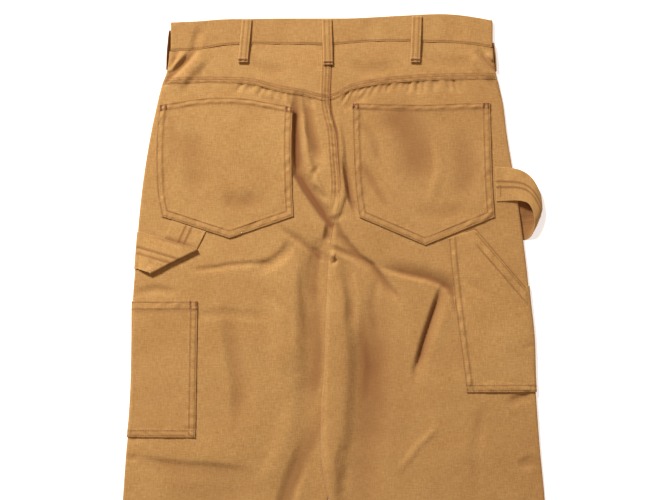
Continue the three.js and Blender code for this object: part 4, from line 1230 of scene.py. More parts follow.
def back_rows():
    """Down values of a back panel's grid lines."""
    fine = list(np.arange(YOKE_MIDDLE + 4, 676, FINE))
    coarse = list(np.arange(680, HEM - 30, COARSE))
    start = [YOKE_MIDDLE + v for v in (0, 0.3, 0.9, 2.2)]
    end = [HEM - v for v in (26, 23.2, 22.4, 21.4, 20.3, 19.5, 18.7, 17, 12, 6, 2, 0.8, 0.4, 0.15, 0)]
    return np.array(start + fine + coarse + end)


ROLL = np.linspace(0, math.pi / 2, 8)[1:]


def back_grid(leg):
    """Grid of a back panel, from the yoke seam to the hem."""
    sign = way(leg)
    other = "right" if leg == "left" else "left"
    row = back_rows()[:, None]
    fade = np.clip(1 - (row - YOKE_MIDDLE) / YOKE_BLEND, 0, 1) ** 2

    def down_at(x):
        return row + (across("yoke", x) + SEAM_GAP / 2 - YOKE_MIDDLE) * fade

    curl = smoothstep(row, CROTCH - 8, LAP_FULL)
    seam_x = inner(leg, row) + sign * SEAM_GAP / 2
    roll_size = mix(1.5, EDGE_RADIUS, curl)
    out_x = side(leg, row) - sign * EDGE_RADIUS
    band = seam_x + sign * np.array(SEAT_STEPS)
    wide = mix(out_x, band[:, :1], np.linspace(0, 1, BACK_COLUMNS)[None, :-1])
    flat_x = np.hstack([wide, band, seam_x + sign * roll_size])
    flat_down = down_at(flat_x)
    flat_z, flat_dark = back_surface(leg, flat_x, flat_down)
    edge_down = np.repeat(down_at(side(leg, row)), len(ROLL), axis=1)
    seam_down = np.repeat(down_at(seam_x), len(ROLL), axis=1)
    roll_x, roll_z = panel_roll(leg, leg, edge_down, ROLL[::-1])
    spread = seam_x + sign * roll_size * (1 - mix(np.arange(1, 8) / 7, np.sin(ROLL), curl))
    in_flat, in_dark = back_surface(leg, spread, seam_down)
    in_z = mix(in_flat, panel_roll(leg, other, seam_down, ROLL)[1], curl)
    line = np.stack([
        np.hstack([roll_x, flat_x, spread]),
        -np.hstack([edge_down, flat_down, seam_down]),
        np.hstack([roll_z, flat_z, in_z]),
    ], axis=2)
    dark = np.hstack([np.zeros(edge_down.shape), flat_dark, in_dark * (1 - curl)])
    return (line, dark) if leg == "left" else (line[:, ::-1], dark[:, ::-1])


def yoke_places():
    """Distances down a yoke, from the waistband to its seam."""
    return spaced(YOKE_LONG, (0, 0.6, 1.6, 3), YOKE_STEPS, 2.2)


def yoke_grid(leg):
    """Grid of a yoke, from the waistband to the yoke seam."""
    sign = way(leg)
    place = yoke_places()[:, None]
    t = place / YOKE_LONG
    plain = YOKE_LONG - YOKE_STEPS[-1]

    def down_at(x):
        top = across("waist", x) + SEAM_GAP
        length = across("yoke", x) - SEAM_GAP / 2 - top
        above_band = top + (length - YOKE_STEPS[-1]) * place / plain
        return np.where(place > plain, top + length - (YOKE_LONG - place), above_band)

    edge_down = down_at(side(leg, mix(40, 90, t)))
    out_x = side(leg, edge_down) - sign * EDGE_RADIUS
    seam_x = inner(leg, mix(36, YOKE_MIDDLE, t)) + sign * SEAM_GAP / 2
    band = seam_x + sign * np.array(SEAT_STEPS + (2.6, 1.7, 0.8, 0))
    wide = mix(out_x, band[:, :1], np.linspace(0, 1, BACK_COLUMNS)[None, :-1])
    flat_x = np.hstack([wide, band])
    flat_down = down_at(flat_x)
    flat_z, flat_dark = yoke_surface(leg, flat_x, flat_down)
    edge_down = np.repeat(edge_down, len(ROLL), axis=1)
    roll_x, roll_z = panel_roll(leg, leg, edge_down, ROLL[::-1])
    line = np.stack([
        np.hstack([roll_x, flat_x]),
        -np.hstack([edge_down, flat_down]),
        np.hstack([roll_z, flat_z]),
    ], axis=2)
    dark = np.hstack([np.zeros(edge_down.shape), flat_dark])
    return (line, dark) if leg == "left" else (line[:, ::-1], dark[:, ::-1])


def front_drop(x):
    """How much lower the waist runs on the front."""
    return FRONT_DROP * np.cos(np.pi * np.clip(np.asarray(x, float) / 440, -0.5, 0.5)) ** 2


def front_grid(leg):
    """Grid of a front panel, whose outer side lies on the floor."""
    sign = way(leg)
    start = 52
    rows = np.concatenate([np.arange(start, 290, 9), np.arange(296, 730, 7.5), np.arange(740, HEM - 24, 20),
                           [HEM - 22.6, HEM - 22, HEM - 10, HEM - 1, HEM]])
    points = []
    for row in rows:
        seam = float(inner(leg, row)) if row > LAP_FULL else float(sample(FRONT_SEAM, "down", "x", row))
        gap = SEAM_GAP / 2 if row <= LAP_FULL else 0
        in_x = seam + sign * gap
        fade = np.clip(1 - (row - start) / 60, 0, 1)
        edge_x = side(leg, row)
        edge_down = row + (across("waist", edge_x) + front_drop(edge_x) + FRONT_WAIST_GAP - start) * fade
        out_x = float(side(leg, edge_down)) - sign * 0.2
        xs = np.concatenate([in_x + sign * np.array([0, 4, 8, 12, 16, 20, 24, 30]),
                             np.linspace(in_x + sign * 36, out_x, 22)])
        downs = row + (across("waist", xs) + front_drop(xs) + FRONT_WAIST_GAP - start) * fade
        zs = underlay(xs, downs) + lap(leg, xs, downs)
        line = np.stack([xs, -downs, zs], axis=1)
        points.append(line if leg == "left" else line[::-1])
    return np.array(points)


def band_places():
    """Distances down the waistband, from its top edge to its seam."""
    return spaced(BAND_DEEP, EDGE_STEPS + (1.4, 2.4), BAND_STEPS, 2.6)


def waistband_grid():
    """Grid of the waistband: from the middle of the front round the back and to the front again."""
    radius = BAND_WALL + BAND_GAP / 2
    left_x = float(side("left", 20)) + radius + 0.4
    right_x = float(side("right", 20)) - radius - 0.4
    front_left = np.linspace(-0.4, left_x, 28)
    front_right = np.linspace(right_x, 0.4, 28)
    back_x = np.linspace(left_x, right_x, 170)
    half_turn = np.linspace(0, math.pi, 12)[1:-1]
    flip = half_turn[::-1]
    points = []
    dark = []
    for place in band_places():
        t = place / BAND_DEEP

        def down_at(x, low):
            return mix(across("top", x), across("waist", x), t) + low

        off = BAND_DEEP - place
        groove = seam_line(off, (BAND_ROW,), 0, 0, back_x, 41) * smoothstep(off, -1, 0)
        dent = crease_sum(BAND_DENTS, back_x, down_at(back_x, 0))
        rise = 0.8 * dome(back_x, side("left", 20), side("right", 20))
        xs = np.concatenate([front_left, left_x - radius * np.sin(flip), back_x,
                             right_x + radius * np.sin(half_turn), front_right])
        zs = np.concatenate([underlay(front_left, 30),
                             underlay(left_x, 30) + radius + radius * np.cos(flip),
                             underlay(back_x, 30) + 2 * BAND_WALL + BAND_GAP + rise + groove + dent,
                             underlay(right_x, 30) + radius + radius * np.cos(half_turn),
                             underlay(front_right, 30)])
        downs = np.concatenate([down_at(front_left, front_drop(front_left)),
                                np.full(len(flip), down_at(left_x, 0)),
                                down_at(back_x, 0),
                                np.full(len(flip), down_at(right_x, 0)),
                                down_at(front_right, front_drop(front_right))])
        shade = np.full(len(xs), float(stitch_row_shade(off, (BAND_ROW,))))
        points.append(np.stack([xs, -downs, zs], axis=1))
        dark.append(shade)
    return np.array(points), np.array(dark)


def pocket_edges(leg, x, down):
    """Distances of a back pocket's points from its left, right, top and bottom edges."""
    shape = BACK_POCKETS[leg]
    left = sample(shape["sides"], "down", "left", down)
    right = sample(shape["sides"], "down", "right", down)
    top = sample(shape["top"], "x", "down", x)
    return x - left, right - x, down - top, pocket_bottom(leg, x) - down


def pocket_bottom(leg, x):
    """Down value of a back pocket's pointed bottom edge."""
    shape = BACK_POCKETS[leg]
    left = shape["sides"][-1]["left"]
    right = shape["sides"][-1]["right"]
    point_x, point_down = shape["point"]
    reach = np.where(x < point_x, (x - left) / (point_x - left), (right - x) / (right - point_x))
    return mix(shape["corner"], point_down, np.clip(reach, 0, 1))


def pocket_surface(leg, x, down):
    """Outer surface of a back pocket, and the painted shade of its stitch rows."""
    left, right, top, bottom = pocket_edges(leg, x, down)
    border = np.minimum(np.minimum(left, right), bottom * 0.95)
    height = back_height(leg, x, down, shared_dents) + LIE_GAP + SHELL + 0.25
    height = height + seam_line(border, DOUBLE_ROWS, FELL_WIDE, FELL_STEP, x + down, 51)
    height = height + seam_line(top, TOP_ROWS, 9.0, FELL_STEP, x, 53)
    return height, np.maximum(stitch_row_shade(border, DOUBLE_ROWS), stitch_row_shade(top, TOP_ROWS))


def pocket_grid(leg):
    """Grid of a back pocket, with one line of it running down to the point."""
    shape = BACK_POCKETS[leg]
    across_places = spaced(POCKET_WIDE, BORDER_STEPS, BORDER_STEPS, 2.8)[None, :]
    down_places = spaced(POCKET_HIGH, POCKET_TOP_STEPS, BORDER_STEPS, 2.8)[:, None]
    guess = mix(shape["top"][2]["down"], shape["corner"], down_places / POCKET_HIGH)
    left = sample(shape["sides"], "down", "left", guess)
    right = sample(shape["sides"], "down", "right", guess)
    xs = left + stretched(across_places, right - left)
    middle = int(np.argmin(np.abs(xs[-1] - shape["point"][0])))
    away = np.abs(np.arange(xs.shape[1]) - middle)
    xs = xs + (shape["point"][0] - xs[-1, middle]) * np.clip(1 - away / POINT_WARP, 0, 1)
    top = sample(shape["top"], "x", "down", xs)
    downs = top + stretched(down_places, pocket_bottom(leg, xs) - top)
    zs, shade = pocket_surface(leg, xs, downs)
    return np.stack([xs, -downs, zs], axis=2), shade


def wrap_under(edge, down, off, under):
    """On from the roll: down past the front's edge and flat along the floor."""
    sign = way(edge)
    x0 = float(side(edge, down))
    xs = []
    zs = []
    for part in (0.5, 0.6, 0.7, 0.8, 0.9, 1.0):
        xs.append(x0 + sign * off * math.sin(part * math.pi))
        zs.append(UNDERLAY + UNDERLAY * math.cos(part * math.pi))
    for part in np.linspace(0, 1, 12)[1:]:
        xs.append(x0 - sign * under * part)
        zs.append(0.0)
    return xs, zs


def tool_section(leg, xs, downs, edge_down, under, lift):
    """One line of a tool pocket: over the back, round the side and under the front."""
    off = LIE_GAP + CLOTH
    z = back_height(leg, xs, downs) + off + lift
    roll_x, roll_z = panel_roll(leg, leg, np.full(7, edge_down), ROLL, off)
    under_x, under_z = wrap_under(leg, edge_down, off, under)
    line_x = np.concatenate([xs, roll_x, under_x])
    line_z = np.concatenate([z, roll_z, under_z])
    line_down = np.concatenate([downs, np.full(7 + len(under_x), edge_down)])
    return np.stack([line_x, -line_down, line_z], axis=1)


def tool_left_grid():
    """Grid of the square tool pocket, with its hem along the top."""
    height = TOOL_LEFT["bottom"] - TOOL_LEFT["top"]
    rows = spaced(height, TOOL_TOP_STEPS, BORDER_STEPS, 3.0)
    cols = spaced(TOOL_LEFT_WIDE, BORDER_STEPS, (0,), 3.0)
    points = []
    dark = []
    for place in rows:
        down = TOOL_LEFT["top"] + place
        inner_x = float(sample(TOOL_LEFT["inner"], "down", "x", down))
        end_x = float(side("left", down)) + EDGE_RADIUS
        xs = inner_x - stretched(cols, inner_x - end_x)
        edge_in = inner_x - xs
        rise = seam_line(edge_in, DOUBLE_ROWS, FELL_WIDE, FELL_STEP, np.full(len(xs), down), 61)
        flat_rows = seam_line(place, HEM_ROWS, 13.0, FELL_STEP, xs, 63)
        low_rows = seam_line(height - place, DOUBLE_ROWS, FELL_WIDE, FELL_STEP, xs, 65)
        dent = 0.5 * wobble(xs, down, 40, 67)
        line = tool_section("left", xs, np.full(len(xs), down), down, TOOL_LEFT["under"],
                            rise + flat_rows + low_rows + dent * smoothstep(edge_in, 4, 20))
        ends = stitch_row_shade(place, HEM_ROWS) + stitch_row_shade(height - place, DOUBLE_ROWS)
        shade = np.full(len(line), float(ends))
        shade[:len(xs)] = np.maximum(shade[:len(xs)], stitch_row_shade(edge_in, DOUBLE_ROWS))
        points.append(line[::-1])
        dark.append(shade[::-1])
    return np.array(points), np.array(dark), rows, cols


def mouth_down(x):
    """Top edge of the slanted tool pocket: along the back pocket's bottom, then the slanted mouth."""
    seat_x, seat_down = TOOL_RIGHT["seat"]
    shoulder_x, shoulder_down = TOOL_RIGHT["shoulder"]
    mouth_x, mouth_end = TOOL_RIGHT["mouth"]
    tucked = mix(seat_down, shoulder_down, ramp(x, seat_x, shoulder_x))
    return np.where(x < shoulder_x, tucked, mix(shoulder_down, mouth_end, ramp(x, shoulder_x, mouth_x)))


def tool_right_grid():
    """Grid of the slanted tool pocket."""
    rows = spaced(TOOL_RIGHT_HIGH, MOUTH_STEPS, BORDER_STEPS, 3.0)
    cols = spaced(TOOL_RIGHT_WIDE, BORDER_STEPS, (0,), 3.0)
    points = []
    dark = []
    for place in rows:
        guess = mix(TOOL_RIGHT["seat"][1], TOOL_RIGHT["bottom"], place / TOOL_RIGHT_HIGH)
        inner_x = float(sample(TOOL_RIGHT["inner"], "down", "x", guess))
        shift = inner_x - TOOL_RIGHT["seat"][0]

        def down_at(x):
            moved = mix(x - shift, x, ramp(x, inner_x, TOOL_RIGHT["mouth"][0]))
            top = mouth_down(moved)
            length = TOOL_RIGHT["bottom"] - top
            return top + stretched_at(rows, place, np.atleast_1d(length))

        edge_down = float(down_at(np.array([side("right", down_at(np.array([inner_x]))[0])]))[0])
        end_x = float(side("right", edge_down)) - EDGE_RADIUS
        xs = inner_x + stretched(cols, end_x - inner_x)
        downs = down_at(xs)
        edge_in = xs - inner_x
        off_bottom = TOOL_RIGHT["bottom"] - downs
        off_mouth = np.where(xs > TOOL_RIGHT["shoulder"][0], downs - mouth_down(xs), FAR)
        rise = seam_line(edge_in, DOUBLE_ROWS, FELL_WIDE, FELL_STEP, downs, 71)
        rise = rise + seam_line(off_bottom, DOUBLE_ROWS, FELL_WIDE, FELL_STEP, xs, 73)
        rise = rise + seam_line(off_mouth, MOUTH_ROWS, 20, FELL_STEP, xs, 75)
        dent = 0.5 * wobble(xs, downs, 44, 77)
        line = tool_section("right", xs, downs, edge_down, TOOL_RIGHT["under"],
                            rise + dent * smoothstep(edge_in, 4, 20))
        low = float(stitch_row_shade(TOOL_RIGHT["bottom"] - edge_down, DOUBLE_ROWS))
        shade = np.full(len(line), low)
        shade[:len(xs)] = np.maximum.reduce([stitch_row_shade(edge_in, DOUBLE_ROWS),
                                             stitch_row_shade(off_bottom, DOUBLE_ROWS),
                                             stitch_row_shade(off_mouth, MOUTH_ROWS)])
        points.append(line)
        dark.append(shade)
    return np.array(points), np.array(dark), rows, cols


def strap_across():
    """Places across a strap, from its first edge to its second, as parts of its width."""
    places = spaced(STRAP_WIDE, STRAP_EDGE_STEPS, STRAP_EDGE_STEPS, 2.6)
    marked = np.sort(np.append(places, [STRAP_WIDE / 2 + row for row in STRAP_ROWS]))
    return marked / STRAP_WIDE


def strap_relief(points, parts, seed, dents):
    """A strap's own unevenness along its length: two sunk rows down its middle, and soft dents."""
    off = (parts - 0.5) * STRAP_WIDE
    along = np.arange(len(points))[:, None] * 1.7
    rows = sum(-0.35 * np.exp(-((off - row) / 0.9) ** 2) for row in STRAP_ROWS)
    height = rows + dents * wobble(along, off, 11, seed)
    return points + normals_of(points) * height[..., None]


def hammer_left_grid():
    """Middle layer of the folded loop: up from the fold to the pocket, and over to the side and under."""
    parts = strap_across()
    (sewn_a, sewn_b), (fold_a, fold_b) = HAMMER_LEFT["sewn"], HAMMER_LEFT["crease"]
    mid = LIE_GAP + SHELL / 2 + 0.2
    line = np.subtract(fold_b, fold_a)
    outward = np.array([-line[1], line[0]]) / np.hypot(*line)
    near_a = np.array(fold_a) - outward * FOLD_RADIUS
    near_b = np.array(fold_b) - outward * FOLD_RADIUS
    stations = []

    def put(a, b, height):
        x = mix(a[0], b[0], parts)
        down = mix(a[1], b[1], parts)
        stations.append(np.stack([x, -down, back_height("left", x, down) + height], axis=1))

    for t in np.linspace(0, 1, 22)[:-1]:
        arch = 0.25 * math.sin(math.pi * t)
        put(mix(np.array(sewn_a), near_a, t), mix(np.array(sewn_b), near_b, t), mid + arch)
    for angle in np.linspace(0, math.pi, 13):
        reach = outward * FOLD_RADIUS * math.sin(angle)
        put(near_a + reach, near_b + reach, mid + FOLD_RADIUS * (1 - math.cos(angle)))
    down_a, down_b = HAMMER_LEFT["side"]
    end_a = np.array([float(side("left", down_a)) + EDGE_RADIUS, down_a])
    end_b = np.array([float(side("left", down_b)) + EDGE_RADIUS, down_b])
    for t in np.linspace(0, 1, 26)[1:]:
        sag = 0.35 * math.sin(math.pi * t) * wobble(parts * STRAP_WIDE, t * 60, 16, 81)
        lift = 1.0 * math.sin(math.pi * t) + 2 * FOLD_RADIUS * (1 - t) ** 0.8
        put(mix(near_a, end_a, t), mix(near_b, end_b, t), mid + lift + sag)
    downs = mix(down_a, down_b, parts)
    for angle in ROLL:
        x, z = panel_roll("left", "left", downs, angle, mid)
        stations.append(np.stack([x, -downs, z], axis=1))
    for part in np.linspace(0.6, 1, 5):
        angle = part * math.pi
        x = side("left", downs) - mid * math.sin(angle)
        z = np.full(len(parts), UNDERLAY + (UNDERLAY - CLOTH / 2) * math.cos(angle))
        stations.append(np.stack([x, -downs, z], axis=1))
    for reach in np.linspace(0, HAMMER_LEFT["under"], 7)[1:]:
        flat = np.full(len(parts), CLOTH / 2)
        stations.append(np.stack([side("left", downs) + reach, -downs, flat], axis=1))
    return np.array(stations), parts


def under_flap(points):
    """How much painted shade the folded loop's lower layer gets where it lies under its flap's upper edge.
    """
    (edge_x, edge_down), (fold_x, fold_down) = (-268, HAMMER_LEFT["side"][1]), HAMMER_LEFT["crease"][1]
    x, down = points[..., 0], -points[..., 1]
    above = mix(edge_down, fold_down, (x - edge_x) / (fold_x - edge_x)) - down
    patchy_shade = 0.6 + 0.5 * wobble(x, down, 15, 87)
    return patchy_shade * smoothstep(above, -1, 1) * (1 - smoothstep(above, 3, 10))


def hammer_right_grid():
    """Middle layer of the curled loop."""
    parts = strap_across()
    keys = np.arange(len(HAMMER_RIGHT))
    rows = [dict(row, key=k) for k, row in enumerate(HAMMER_RIGHT)]
    mid = LIE_GAP + SHELL / 2 + 0.2
    for row in rows:
        for edge in "ab":
            if row[edge + "z"] is ON_PANEL:
                row[edge + "z"] = float(back_height("right", row[edge + "x"], row[edge + "d"])) + mid
    stations = []
    for key in np.linspace(0, keys[-1], 92):
        at = {name: float(sample(rows, "key", name, key)) for name in HAMMER_RIGHT[0]}
        x = mix(at["ax"], at["bx"], parts) + at["bow"] * 4 * parts * (1 - parts)
        down = mix(at["ad"], at["bd"], parts)
        z = mix(at["az"], at["bz"], parts)
        free = math.sin(math.pi * min(1, max(0, (key - 2) / 8)))
        z = z + free * 0.5 * wobble(parts * STRAP_WIDE, key * 11, 15, 83)
        z = z + 1.3 * float(smoothstep(key, 8, 9.5)) * np.clip(wobble(parts * 20, key * 14, 9, 89), 0, 1)
        stations.append(np.stack([x, -down, z], axis=1))
    return np.array(stations), parts


def band_top(x):
    """Outer height of the waistband's back half."""
    return underlay(x, 30) + 2 * BAND_WALL + BAND_GAP + 0.8


def belt_loop_grid(loop):
    """Grid of a back belt loop: arched over the waistband, its foot turned in."""
    leg = "left" if loop["topx"] < -20 else "right"
    places = spaced(float(loop["foot"] - loop["top"]), LOOP_STEPS, LOOP_STEPS, 1.6)
    half = LOOP_WIDTH / 2
    beside = [0, 1, 2.2, 3.2, 4.2, 5.2, half - 0.85, half - 0.4, half - 0.15, half]
    offs = np.array([-v for v in beside[:0:-1]] + beside)
    points = []
    dark = []
    length = places[-1]
    for place in places:
        t = place / length
        down = loop["top"] + place
        middle = mix(loop["topx"], loop["footx"], t)
        over_band = 1 - float(smoothstep(t, 0.5, 0.75))
        on_yoke = float(max(back_height(leg, middle, down), back_height("left", middle, down))) + SEAT_STEP
        base = mix(on_yoke, max(on_yoke, float(band_top(middle))), over_band)
        arch = LOOP_ARCH * math.sin(math.pi * t)
        crown = 0.35 * (1 - (offs / half) ** 2)
        sunk = sum(-0.32 * np.exp(-((offs - row) / 0.7) ** 2) for row in LOOP_ROWS)
        turned_foot = 0.45 * float(smoothstep(place, length - 6.5, length - 5.5))
        turned_top = 0.3 * (1 - float(smoothstep(place, 3, 4.5)))
        xs = middle + offs
        zs = base + LIE_GAP + LOOP_WALL + arch + crown + sunk + turned_foot + turned_top
        zs = zs + 0.12 * wobble(offs, place, 6, 91)
        points.append(np.stack([xs, np.full(len(xs), -down), zs], axis=1))
        dark.append(stitch_row_shade(offs, LOOP_ROWS) * 0.8)
    return np.array(points), np.array(dark), offs


def side_loop_grid(loop):
    """Grid of a side belt loop, which stands off the edge and turns under the front."""
    sign = loop["side"]
    edge = "left" if sign < 0 else "right"
    points = []
    for t in np.linspace(0, 1, 22):
        down = mix(loop["top"], loop["foot"], t)
        x0 = max(abs(float(side(edge, 30))) + 0.2, abs(float(side(edge, down))))
        off = LIE_GAP + CLOTH + loop["stand"] * math.sin(math.pi * t)
        section = [(x0 + off, z) for z in (5.6, 5.4, 5.1, 4.6, 3.6, 2.6, UNDERLAY + 0.2)]
        for part in (0.6, 0.7, 0.8, 0.9, 1.0):
            section.append((x0 + off * math.sin(part * math.pi), UNDERLAY * (1 + math.cos(part * math.pi))))
        section += [(x0 - reach, 0.0) for reach in (1, 3, 5, 7, 7.6, 8)]
        line = [(sign * x, -down, z) for x, z in section]
        points.append(line[::-1] if sign < 0 else line)
    return np.array(points)


def front_loop_grid(loop):
    """Grid of a front belt loop, whose outer side lies on the floor."""
    points = []
    for down in spaced(float(loop["foot"] - loop["top"]), EDGE_STEPS, EDGE_STEPS, 3.0) + loop["top"]:
        offs = np.array([0, 0.3, 0.8, 2.4, 4.5, 6.75, 9, 11.1, 12.7, 13.2, 13.5]) - 6.75
        points.append([(loop["x"] - off, -down, 0.0) for off in offs])
    return np.array(points)


def bevelled_block(name, size, bevel_wide, segments):
    """A block of this size in millimetres with its edges bevelled."""
    deselect()
    bpy.ops.mesh.primitive_cube_add(size=1.0)
    block = bpy.context.object
    block.name = name
    block.data.transform(Matrix.Diagonal([length * MM for length in size] + [1]))
    bevel = block.modifiers.new("soft", "BEVEL")
    bevel.width = bevel_wide * MM
    bevel.segments = segments
    bpy.ops.object.modifier_apply(modifier=bevel.name)
    return block


def top_of(surface, leg):
    """The height alone of a surface, as a run of stitches asks for it."""
    return lambda x, down: surface(leg, x, down)[0]


def over_back(leg, lift):
    """A surface this far over the back with its folds."""
    return lambda x, down: back_height(leg, x, down) + LIE_GAP + lift


def offset_route(leg, off):
    """A row of stitches round a back pocket, this far inside its edge."""
    shape = BACK_POCKETS[leg]
    point_x, point_down = shape["point"]
    corner = shape["corner"]
    low = off * 1.06
    route = []
    first = shape["top"][0]["down"]
    for down in np.linspace(first + 0.6, corner - low + 0.6, 16):
        route.append((float(sample(shape["sides"], "down", "left", down)) + off, down))
    route.append((point_x, point_down - low))
    last = shape["top"][-1]["down"]
    for down in np.linspace(corner - low + 0.6, last + 0.6, 16):
        route.append((float(sample(shape["sides"], "down", "right", down)) - off, down))
    return route


class PANTS_OT_camera(bpy.types.Operator):
    """Puts the camera straight above, with the photo's framing"""
    bl_idname = "pants.camera"
    bl_label = "Camera"

    def execute(self, context):
        camera = bpy.data.cameras.new("photo_camera")
        camera.sensor_width = 36.0
        wide = PHOTO_WIDE * PIXEL
        camera.lens = camera.sensor_width * CAMERA_HIGH / wide
        camera.clip_end = 20
        holder = bpy.data.objects.new("photo_camera", camera)
        context.scene.collection.objects.link(holder)
        x, y, z = in_row([VIEW_MIDDLE[0], -VIEW_MIDDLE[1], CAMERA_HIGH + 7])
        holder.location = (x, y, z)
        context.scene.camera = holder
        return {"FINISHED"}


class PANTS_OT_stage(bpy.types.Operator):
    """Lays the white sweep and sets the soft light from the upper left"""
    bl_idname = "pants.stage"
    bl_label = "Stage"

    def execute(self, context):
        deselect()
        bpy.ops.mesh.primitive_plane_add(size=9.0, location=(0, 0, -0.1 * MM))
        floor = context.object
        floor.name = "floor"
        bpy.ops.object.transform_apply(location=True)
        floor.data.materials.append(MATERIALS["floor"]())
        for lamp in LIGHTS:
            light = bpy.data.lights.new(lamp["name"], "AREA")
            light.size = lamp["size"]
            light.energy = lamp["energy"]
            holder = bpy.data.objects.new(lamp["name"], light)
            context.scene.collection.objects.link(holder)
            holder.location = lamp["place"]
            aim = Vector((0.0, 0.2, 0.0)) - holder.location
            holder.rotation_euler = aim.to_track_quat("-Z", "Y").to_euler()
        world = context.scene.world or bpy.data.worlds.new("studio")
        context.scene.world = world
        world.use_nodes = True
        background = world.node_tree.nodes.get("Background")
        background.inputs["Color"].default_value = SKY
        background.inputs["Strength"].default_value = SKY_STRENGTH
        context.scene.view_settings.view_transform = "Standard"
        context.scene.view_settings.look = "None"
        return {"FINISHED"}


class PANTS_OT_fronts(bpy.types.Operator):
    """Lays the two front panels face down"""
    bl_idname = "pants.fronts"
    bl_label = "Fronts"

    def execute(self, context):
        for leg in LEGS:
            name = f"front_{leg}"
            piece = cloth(name + "_cloth", front_grid(leg), SHELL, name)
        return {"FINISHED"}


class PANTS_OT_backs(bpy.types.Operator):
    """Lays the two back panels with their folds"""
    bl_idname = "pants.backs"
    bl_label = "Backs"

    def execute(self, context):
        for leg in LEGS:
            name = f"back_{leg}"
            points, dark = back_grid(leg)
            # Painted shade in the folds, darker the deeper the fold
            piece = cloth(name + "_cloth", points, SHELL, name, dark, free="b",
                          shade_amounts=painted_shade(fold_height(points[..., 0], -points[..., 1])))
        return {"FINISHED"}


class PANTS_OT_yokes(bpy.types.Operator):
    """Sets in the two yokes"""
    bl_idname = "pants.yokes"
    bl_label = "Yokes"

    def execute(self, context):
        for leg in LEGS:
            name = f"yoke_{leg}"
            points, dark = yoke_grid(leg)
            # Painted shade in the folds, darker the deeper the fold
            piece = cloth(name + "_cloth", points, SHELL, name, dark, free="b",
                          shade_amounts=painted_shade(fold_height(points[..., 0], -points[..., 1])))
        return {"FINISHED"}


class PANTS_OT_waistband(bpy.types.Operator):
    """Closes the waistband round the top"""
    bl_idname = "pants.waistband"
    bl_label = "Waistband"

    def execute(self, context):
        points, dark = waistband_grid()
        piece = cloth("waistband_cloth", points, BAND_WALL, "waistband", dark)
        return {"FINISHED"}


class PANTS_OT_back_pockets(bpy.types.Operator):
    """Patches the two pointed pockets on the back"""
    bl_idname = "pants.back_pockets"
    bl_label = "Back pockets"

    def execute(self, context):
        for leg in LEGS:
            name = f"back_pocket_{leg}"
            points, dark = pocket_grid(leg)
            x, down = points[..., 0], -points[..., 1]
            # Painted shade in the pocket's soft dents
            piece = cloth(name + "_cloth", points, SHELL + 0.2, name, dark,
                          shade_amounts=painted_shade(1.9 * shared_dents(x, down)))
        return {"FINISHED"}


class PANTS_OT_tool_pockets(bpy.types.Operator):
    """Wraps the tool pockets round the sides"""
    bl_idname = "pants.tool_pockets"
    bl_label = "Tool pockets"

    def execute(self, context):
        for leg, grid, flat in (
            ("left", tool_left_grid, (160, 214, 0.85)),
            ("right", tool_right_grid, (172, 240, 0.7)),
        ):
            name = f"tool_pocket_{leg}"
            points, dark, rows, cols = grid()
            piece = cloth(name + "_cloth", points, SHELL + 0.2, name, dark)
            made[name + "_cloth"].update(rows=rows, cols=cols)
        return {"FINISHED"}


class PANTS_OT_hammer_loops(bpy.types.Operator):
    """Lays the folded loop on the left and curls the other out on the right"""
    bl_idname = "pants.hammer_loops"
    bl_label = "Hammer loops"

    def execute(self, context):
        points, parts = hammer_left_grid()
        points = strap_relief(points[::-1], parts, 85, 0.3)
        self.lay("left", points, parts, under_flap(points), 158)
        points, parts = hammer_right_grid()
        points = strap_relief(points, parts, 83, 0.35)
        # Painted shade on the curl's inner face, darkest towards the strap's first edge
        inside = smoothstep(np.arange(len(points)), 50, 66)[:, None] * (1.25 - 0.5 * parts[None])
        self.lay("right", points, parts, inside, 112)
        return {"FINISHED"}

    def lay(self, leg, points, parts, shade_amounts, long):
        """Makes one strap's cloth; long, the length of its cut, is not used."""
        name = f"hammer_loop_{leg}"
        rows = np.repeat(stitch_row_shade((parts - 0.5) * STRAP_WIDE, STRAP_ROWS)[None], len(points), axis=0)
        piece = cloth(name + "_cloth", points, SHELL, name, rows, middle=True, shade_amounts=shade_amounts)
        made[name + "_cloth"]["parts"] = parts


class PANTS_OT_belt_loops(bpy.types.Operator):
    """Sets the belt loops over the waistband"""
    bl_idname = "pants.belt_loops"
    bl_label = "Belt loops"

    def execute(self, context):
        for loop in BACK_LOOPS:
            name = f"belt_loop_back_{loop['name']}"
            points, dark, offs = belt_loop_grid(loop)
            piece = cloth(name + "_cloth", points, LOOP_WALL, name, dark)
            made[name + "_cloth"]["offs"] = offs
        for loop in SIDE_LOOPS:
            name = f"belt_loop_side_{loop['name']}"
            points = side_loop_grid(loop)
            # Painted shade: the side loops are dark all over, as if in the body's shade
            piece = cloth(name + "_cloth", points, SHELL + 0.2, name, shade_amounts=np.ones(points.shape[:2]))
        for loop in FRONT_LOOPS:
            name = f"belt_loop_front_{loop['name']}"
            piece = cloth(name + "_cloth", front_loop_grid(loop), SHELL + 0.2, name)
        return {"FINISHED"}


